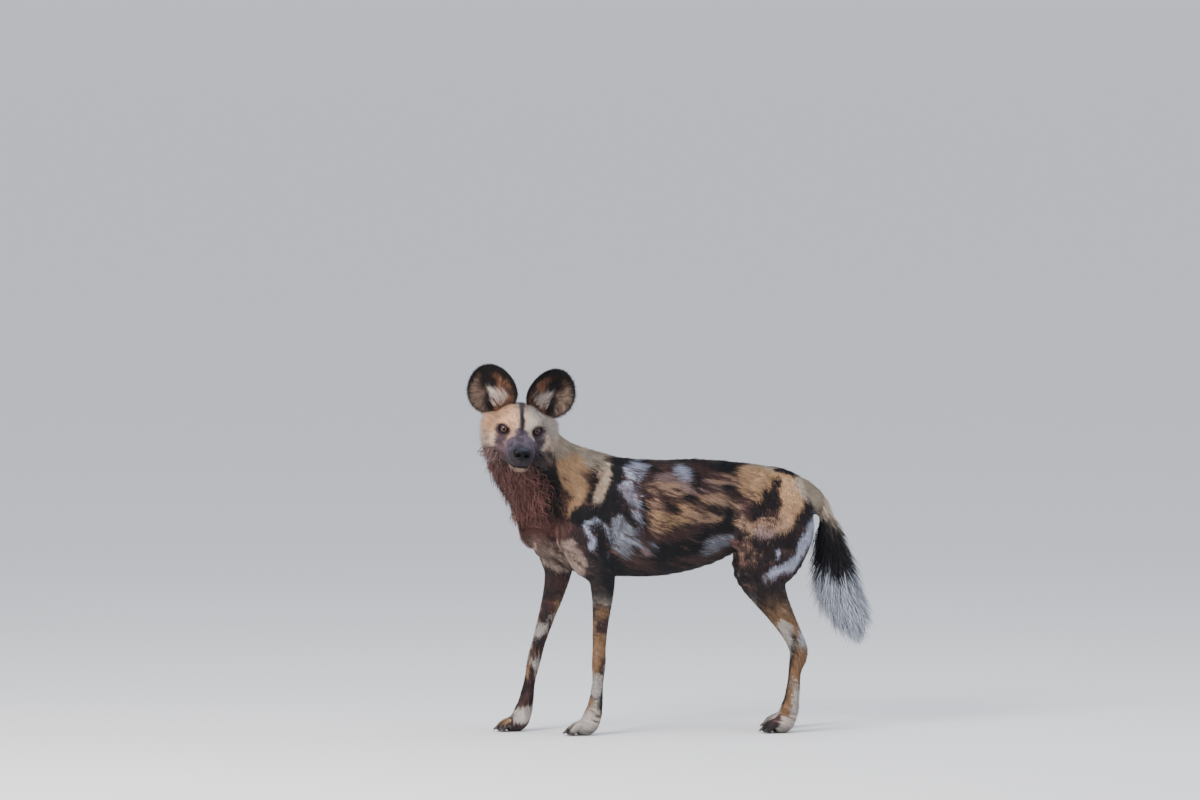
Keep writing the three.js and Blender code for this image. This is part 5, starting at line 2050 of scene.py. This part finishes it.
    def fur(self, rng: np.random.Generator) -> bpy.types.Object:
        """Short hair on both faces, a fringe on the rim and the pale tuft inside.

        Args:
            rng: the random numbers.

        Returns:
            The tufts as one piece.
        """
        round_it = (0, 2 * math.pi)
        out = np.sqrt(rng.uniform(0.05, 1, 4200))
        batches = [self.hair(rng, rng.uniform(*round_it, 4200), out, False, EAR_BACK_HAIR)]
        out = np.sqrt(rng.uniform(0.1, 0.98, 4800))
        batches.append(self.hair(rng, rng.uniform(*round_it, 4800), out, True, EAR_INNER_HAIR))
        out = rng.uniform(0.95, 0.99, 1500)
        batches.append(self.hair(rng, rng.uniform(*round_it, 1500), out, True, EAR_FRINGE))
        turn = np.radians(rng.triangular(206, 250, 292, 300))
        out = rng.uniform(0.12, 0.76, 300)
        batches.append(self.hair(rng, turn, out, True, EAR_TUFT))
        name = "coat_ear_left" if self.side > 0 else "coat_ear_right"
        return Tufts.join(batches).build(name, 1, rng)

    def dress(self, finishes: Materials, rng: np.random.Generator) -> None:
        """Build the ear and its fur, and dress both.

        Args:
            finishes: the materials.
            rng: the random numbers.
        """
        word = "left" if self.side > 0 else "right"
        attach(self.build(), finishes.made["hide"], "coat_ears", f"ear_{word}")
        attach(self.fur(rng), finishes.made["fur"], "coat_ears")


@dataclass
class Eye:
    """One eyeball with its lids.

    Attributes:
        anatomy: the animal.
        side: 1 for the dog's left, -1 for its right.
        iris: the iris's radius.
        pupil: the pupil's radius.
        ball_mesh: rows and columns of the ball's mesh.
        lid_mesh: columns and rows of the lids' mesh.
        lid_tilt: degrees the outer corner stands higher.
        opening: degrees from the gaze to the corners, the upper and the lower edge.
        almond: the exponent of the opening's outline; 2 is an oval.
        lid_reach: degrees from the gaze to the lids' outer edge.
    """

    anatomy: Anatomy
    side: int
    iris: float = 7.2
    pupil: float = 3.7
    ball_mesh: tuple[int, int] = (80, 96)
    lid_mesh: tuple[int, int] = (72, 12)
    lid_tilt: float = 9.0
    opening: tuple[float, float, float] = (50.0, 26.0, 27.0)
    almond: float = 1.55
    lid_reach: float = 84.0

    def __post_init__(self) -> None:
        """Work out the gaze frame: along the gaze, across to the outside, and up."""
        self.centre = self.anatomy.eye_centre(self.side)
        gaze = self.anatomy.gaze(self.side)
        across = unit(np.cross(UP, gaze)) * self.side
        self.axes = np.stack([gaze, across, UP])

    def to_world(self, p: Array) -> Array:
        """Points of the gaze frame in the working frame."""
        return self.anatomy.head.world(p @ self.axes + self.centre)

    def ball(self) -> bpy.types.Object:
        """The eyeball, dense enough to carry its iris in painted points.

        Returns:
            The ball, painted.
        """
        rows, cols = self.ball_mesh
        polar = np.linspace(0, math.pi, rows + 1)[1:-1]
        turn = np.linspace(0, 2 * math.pi, cols, endpoint=False)
        a, b = (m.ravel() for m in np.meshgrid(polar, turn, indexing="ij"))
        r = self.anatomy.eye_radius * np.ones_like(a)
        across = r * np.sin(a)
        r = r + 0.9 * ramp(self.iris + 0.6, 0, across) * (a < 1.2)
        points = np.stack([r * np.cos(a), r * np.sin(a) * np.cos(b), r * np.sin(a) * np.sin(b)], -1)
        poles = np.array([[self.anatomy.eye_radius + 0.9, 0, 0], [-self.anatomy.eye_radius, 0, 0]])
        points = np.vstack([points, poles])
        count = len(a)
        ring = np.arange(cols)
        faces = [fan(count, ring)]
        for i in range(rows - 2):
            faces += strip(i * cols + ring, (i + 1) * cols + ring)
        faces.append(fan(count + 1, (rows - 2) * cols + ring, flip=True))
        faces = np.concatenate(faces)
        if self.side < 0:
            faces = faces[:, ::-1]
        away = np.concatenate([across, [0, 0]])
        angle = np.concatenate([b, [0, 0]])
        front = np.concatenate([a < 1.6, [True, False]])
        spokes = noise(np.stack([np.cos(angle) * 9, np.sin(angle) * 9, away * 0.4], -1), 0.8, 5)
        shade = mix(Tint.IRIS, Tint.IRIS_SPOKE, ramp(-0.4, 0.8, spokes))
        shade = mix(shade, Tint.IRIS_EDGE, ramp(self.iris - 2.0, self.iris - 0.2, away))
        shade = mix(shade, Tint.IRIS_LINE, ramp(self.iris - 0.2, self.iris + 0.5, away))
        shade = mix(shade, Tint.EYE_WHITE, ramp(self.iris + 0.8, self.iris + 2.4, away))
        shade = mix(shade, Tint.PUPIL, ramp(self.pupil + 0.5, self.pupil - 0.2, away) * front)
        name = "eyeball_left" if self.side > 0 else "eyeball_right"
        piece = make_object(name, self.to_world(points), faces)
        paint(piece, "coat", shade)
        return piece

    def lids(self) -> bpy.types.Object:
        """Upper and lower lid: a shell round the ball with an almond opening.

        Returns:
            Both lids as one piece.
        """
        cols, rows = self.lid_mesh
        turn = np.linspace(0, 2 * math.pi, cols, endpoint=False)
        t = turn - math.radians(self.lid_tilt)
        wide, high, low = (math.radians(a) for a in self.opening)
        rise = np.where(np.sin(t) > 0, high, low)
        power = self.almond
        edge = 1 / ((np.abs(np.cos(t)) / wide) ** power + (np.abs(np.sin(t)) / rise) ** power) ** (1 / power)
        far = math.radians(self.lid_reach)
        layers, colours = [], []
        for inner in (False, True):
            for i in range(rows + 1):
                share = i / rows
                a = edge + (far - edge) * share
                swell = 0.5 * math.sin(math.pi * min(share * 1.4 + 0.12, 1.0))
                lift = 0.3 if inner else 0.9 + swell - 0.9 * share
                r = self.anatomy.eye_radius + lift
                out = r * np.sin(a)
                layers.append(np.stack([r * np.cos(a), out * np.cos(turn), out * np.sin(turn)], -1))
                dark = ramp(0.34, 0.06, np.full(cols, share))
                colours.append(mix(Tint.LID, Tint.LID_EDGE, dark))
        points = np.concatenate(layers)
        size = (rows + 1) * cols
        ring = np.arange(cols)
        faces = []
        for i in range(rows):
            a = i * cols + ring
            faces += strip(a, a + cols)
            faces += strip(a + size, a + size + cols, flip=True)
        faces += strip(ring, ring + size, flip=True)
        faces += strip(rows * cols + ring, rows * cols + ring + size)
        faces = np.concatenate(faces)
        if self.side < 0:
            faces = faces[:, ::-1]
        name = "lids_left" if self.side > 0 else "lids_right"
        piece = make_object(name, self.to_world(points), faces)
        paint(piece, "coat", np.concatenate(colours))
        return piece

    def dress(self, finishes: Materials) -> None:
        """Build the ball and its lids, and dress both.

        Args:
            finishes: the materials.
        """
        word = "left" if self.side > 0 else "right"
        attach(self.ball(), finishes.made["eye"], "eyes", f"eye_{word}")
        attach(self.lids(), finishes.made["lid skin"], "coat_face")


@dataclass
class Nose:
    """The bare nose pad with its nostrils."""

    anatomy: Anatomy
    cell: float = 0.75
    hole_rows: tuple = ((122, 8, -35, 4.2, 4.6), (106, 9.4, -34, 4.4, 4.4), (95, 11, -31, 3, 3))
    slit_rows: tuple = ((112, 10, -37, 2.4, 2.4), (103, 19, -37.5, 1.8, 1.8), (97, 24, -36, 1.4, 1.6))

    def form(self, q: Array) -> Array:
        """The pad's field in the head's frame.

        Args:
            q: points in the head's frame.

        Returns:
            Distances, negative inside.
        """
        d = egg(q, (97, 0, -32), (15.5, 21.5, 14))
        d = blend(d, egg(q, (98, 0, -42), (11.5, 13, 10.5)), 7)
        for side in (1, -1):
            d = blend(d, egg(q, (99, side * 12.5, -34), (11, 8.5, 10)), 6)
            hole = [(x, side * y, z, w, h) for x, y, z, w, h in self.hole_rows]
            slit = [(x, side * y, z, w, h) for x, y, z, w, h in self.slit_rows]
            d = press(d, Limb(hole, ACROSS)(q), 3)
            d = press(d, Limb(slit, UP)(q), 2.5)
        d += 1.7 * np.exp(-((q[:, 1] / 1.3) ** 2)) * ramp(-30, -40, q[:, 2])
        return d + 0.22 * noise(q, 2.1, 111)

    def build(self) -> bpy.types.Object:
        """Mesh the pad.

        Returns:
            The pad, painted.
        """
        low, high = np.array([76.0, -27, -60]), np.array([116.0, 27, -14])
        axes = [np.arange(lo, hi, self.cell) for lo, hi in zip(low, high)]
        mesh = np.meshgrid(*axes, indexing="ij")
        q = np.stack([m.ravel() for m in mesh], -1)
        values = self.form(q).reshape(mesh[0].shape)
        grid = openvdb.FloatGrid(4.0)
        grid.copyFromArray(np.clip(values, -4, 4).astype(np.float32))
        points, quads = grid.convertToQuads(isovalue=0.0)
        local = points * self.cell + low
        piece = make_object("nose_pad", self.anatomy.head.world(local), facing_out(local, quads))
        # Painted highlight on the top of the pad.
        shade = mix(Tint.NOSE, Tint.NOSE_TOP, ramp(-28, -17, local[:, 2]))
        paint(piece, "coat", shade)
        return piece

    def dress(self, finishes: Materials) -> None:
        """Build the pad and dress it."""
        attach(self.build(), finishes.made["nose leather"], "nose_skin", "nose")


@dataclass
class Claws:
    """All the claws, as bent tapering horns.

    Attributes:
        anatomy: the animal.
        sides: points round a claw.
        rings: cross sections along it.
        length: how far it reaches forwards.
        root_height: the height of its root above the sole.
        drop: how far its tip lies below the root.
        root_size: half its height at the root, less that at the tip.
        tip_size: half its height at the tip.
    """

    anatomy: Anatomy
    sides: int = 10
    rings: int = 9
    length: float = 16.0
    root_height: float = 13.5
    drop: float = 8.4
    root_size: float = 4.3
    tip_size: float = 0.9

    def build(self) -> bpy.types.Object:
        """Mesh every claw.

        Returns:
            The claws as one piece.
        """
        points, faces, colours = [], [], []
        start = 0
        turn = np.linspace(0, 2 * math.pi, self.sides, endpoint=False)
        for foot in self.anatomy.feet:
            for offset, share in self.anatomy.toes:
                x0, y0 = -51 * share, offset * 1.1
                for i in range(self.rings):
                    t = i / (self.rings - 1)
                    x = x0 + 2 - self.length * t
                    z = self.root_height - self.drop * t**1.7
                    size = self.root_size * (1 - t) ** 0.45 + self.tip_size
                    up, out = size * np.sin(turn), size * np.cos(turn)
                    points.append(foot + np.stack([x + 0.5 * up, y0 + 0.72 * out, z + up], -1))
                    colours.append(np.broadcast_to(srgb(Tint.CLAW) * (1 + 1.2 * t), (self.sides, 3)))
                tips = np.array([[x0 + 2, y0, self.root_height], [x0 - self.length + 1.1, y0, 4.6]])
                points.append(foot + tips)
                colours.append(np.broadcast_to(srgb(Tint.CLAW_END), (2, 3)))
                ring = start + np.arange(self.sides)
                for i in range(self.rings - 1):
                    faces += strip(ring + i * self.sides, ring + (i + 1) * self.sides, flip=True)
                tip = start + self.rings * self.sides
                faces += [fan(tip, ring, flip=True), fan(tip + 1, ring + (self.rings - 1) * self.sides)]
                start = tip + 2
        piece = make_object("claws", np.concatenate(points), np.concatenate(faces))
        paint(piece, "coat", np.concatenate(colours))
        return piece

    def dress(self, finishes: Materials) -> None:
        """Build the claws and dress them."""
        attach(self.build(), finishes.made["claw horn"], "coat_legs")


@dataclass
class Whiskers:
    """Thin dark whiskers on the muzzle and over the eyes."""

    anatomy: Anatomy

    def build(self, rng: np.random.Generator) -> bpy.types.Object:
        """Grow the whiskers.

        Args:
            rng: the random numbers.

        Returns:
            The whiskers as one piece.
        """
        roots, normals, lies, lengths = [], [], [], []
        for side in (1, -1):
            for row in range(4):
                for i in range(5):
                    x = 84 - 9 * i - 2 * row
                    z = -44 - 5.5 * row
                    y = side * (30.5 + 0.07 * (84 - x))
                    roots.append((x, y, z))
                    normals.append((0.25, side, -0.1))
                    lies.append((-0.75, side * 0.2, -0.35 - 0.1 * row))
                    lengths.append(rng.uniform(22, 42))
            for i in range(3):
                roots.append((8, side * (30 + 5 * i), 22))
                normals.append((0.5, 0, 1))
                lies.append((0.2, side * 0.7, 0.2))
                lengths.append(rng.uniform(16, 26))
        head = self.anatomy.head
        n = len(roots)
        normal = unit(head.way(np.array(normals, float)))
        lie = unit(head.way(np.array(lies, float)))
        place = np.tile(np.array([[0.97, 0.62]]), (n, 1))
        tufts = Tufts(
            head.world(np.array(roots, float)),
            normal,
            lie,
            np.array(lengths),
            np.full(n, 0.5),
            rng.uniform(24, 44, n),
            np.full(n, 4.0),
            np.full(n, 0.02),
            np.tile(srgb(Tint.WHISKER), (n, 1)),
            place,
        )
        return tufts.build("whiskers", 4, rng, 0.5)

    def dress(self, finishes: Materials, rng: np.random.Generator) -> None:
        """Grow the whiskers and dress them."""
        attach(self.build(rng), finishes.made["fur"], "coat_face")


@dataclass(frozen=True)
class Lamp:
    """A broad soft lamp.

    Attributes:
        name: what it is for.
        place: where it stands, in metres.
        size: the side of its square, in metres.
        power: in watts.
        colour: its linear colour.
    """

    name: str
    place: tuple[float, float, float]
    size: float
    power: float
    colour: tuple[float, float, float]

    def build(self) -> None:
        """Hang the lamp, aimed at the middle of the animal."""
        data = bpy.data.lights.new(self.name, "AREA")
        data.size = self.size
        data.energy = self.power
        data.color = self.colour
        made = bpy.data.objects.new(self.name, data)
        made.location = self.place
        way = Vector((0, 0, 0.5)) - Vector(self.place)
        made.rotation_euler = way.to_track_quat("-Z", "Y").to_euler()
        bpy.context.scene.collection.objects.link(made)


@dataclass
class Studio:
    """Floor, light and camera.

    Attributes:
        azimuth: degrees the camera stands round from the animal's right side.
        elevation: degrees it stands above the level.
        distance: metres from the camera to its aim.
        lens: focal length in millimetres.
        aim_across: the aim along the picture's width, in millimetres of the working frame.
        aim_up: the aim along the picture's height, in millimetres of the working frame.
        floor_reach: metres from the middle to the floor's edges.
        floor_tones: the floor's darkest and lightest grey.
        sky: the world's colour.
        sky_strength: the world's strength.
        lamps: the lamps.
    """

    azimuth: float = -8.0
    elevation: float = 3.0
    distance: float = 20.0
    lens: float = 244.9
    aim_across: float = -147.0
    aim_up: float = 813.0
    floor_reach: float = 600.0
    floor_tones: tuple[float, float] = (0.80, 0.86)
    sky: tuple[float, float, float, float] = (0.86, 0.9, 1.0, 1)
    sky_strength: float = 0.95
    lamps: tuple[Lamp, ...] = (
        Lamp("key", (-3.2, -3.0, 3.0), 2.2, 320.0, (1.0, 0.93, 0.85)),
        Lamp("top", (0.6, -0.6, 4.2), 3.0, 95.0, (0.86, 0.92, 1.0)),
        Lamp("fill", (3.2, -3.4, 1.6), 2.5, 45.0, (0.9, 0.94, 1.0)),
    )

    def camera(self) -> None:
        """Stand the camera where the picture was taken from."""
        a, e = math.radians(self.azimuth), math.radians(self.elevation)
        right = np.array([math.cos(a), math.sin(a), 0])
        back = np.array([math.sin(a) * math.cos(e), -math.cos(a) * math.cos(e), math.sin(e)])
        up = np.cross(back, right)
        aim = (right * self.aim_across + up * self.aim_up + SHIFT) / 1000
        data = bpy.data.cameras.new("camera")
        data.lens = self.lens
        data.sensor_width = 36.0
        data.clip_end = 2000.0
        made = bpy.data.objects.new("camera", data)
        place = aim + back * self.distance
        rows = [[right[i], up[i], back[i], place[i]] for i in range(3)]
        made.matrix_world = Matrix([*rows, [0, 0, 0, 1]])
        bpy.context.scene.collection.objects.link(made)
        bpy.context.scene.camera = made

    def floor(self) -> None:
        """A wide, plain, pale floor."""
        reach = self.floor_reach
        mesh = bpy.data.meshes.new("floor")
        corners = [(-reach, -reach, 0), (reach, -reach, 0), (reach, reach, 0), (-reach, reach, 0)]
        mesh.from_pydata(corners, [], [(0, 1, 2, 3)])
        made = bpy.data.objects.new("floor", mesh)
        bpy.context.scene.collection.objects.link(made)
        material = bpy.data.materials.new("pale floor")
        material.use_nodes = True
        n, link = material.node_tree.nodes, material.node_tree.links.new
        texture = preset(n.new("ShaderNodeTexNoise"), Scale=3.0)
        tones = preset(n.new("ShaderNodeMapRange"), To_Min=self.floor_tones[0], To_Max=self.floor_tones[1])
        join = n.new("ShaderNodeCombineColor")
        link(texture.outputs["Fac"], tones.inputs["Value"])
        for channel in ("Red", "Green", "Blue"):
            link(tones.outputs["Result"], join.inputs[channel])
        link(join.outputs["Color"], n["Principled BSDF"].inputs["Base Color"])
        preset(n["Principled BSDF"], Roughness=0.75)
        mesh.materials.append(material)

    def light(self) -> None:
        """A broad soft light from above and the camera's left, a fill, and a pale world."""
        world = bpy.data.worlds.new("studio")
        world.use_nodes = True
        preset(world.node_tree.nodes["Background"], Color=self.sky, Strength=self.sky_strength)
        bpy.context.scene.world = world
        for lamp in self.lamps:
            lamp.build()


def main() -> None:
    """Build the whole scene, piece by piece."""
    logging.basicConfig(level=logging.INFO, format="%(name)s: %(message)s")
    studio = Studio()
    studio.camera()
    studio.floor()
    studio.light()
    anatomy = Anatomy()
    finishes = Materials()
    skin = Skin(anatomy, Markings(anatomy))
    skin.dress(finishes)
    Coat(skin).dress(finishes)
    rng = np.random.default_rng(23)
    for side in (1, -1):
        Ear(anatomy, side).dress(finishes, rng)
        Eye(anatomy, side).dress(finishes)
    Nose(anatomy).dress(finishes)
    Claws(anatomy).dress(finishes)
    Whiskers(anatomy).dress(finishes, rng)


if __name__ == "__main__":
    main()
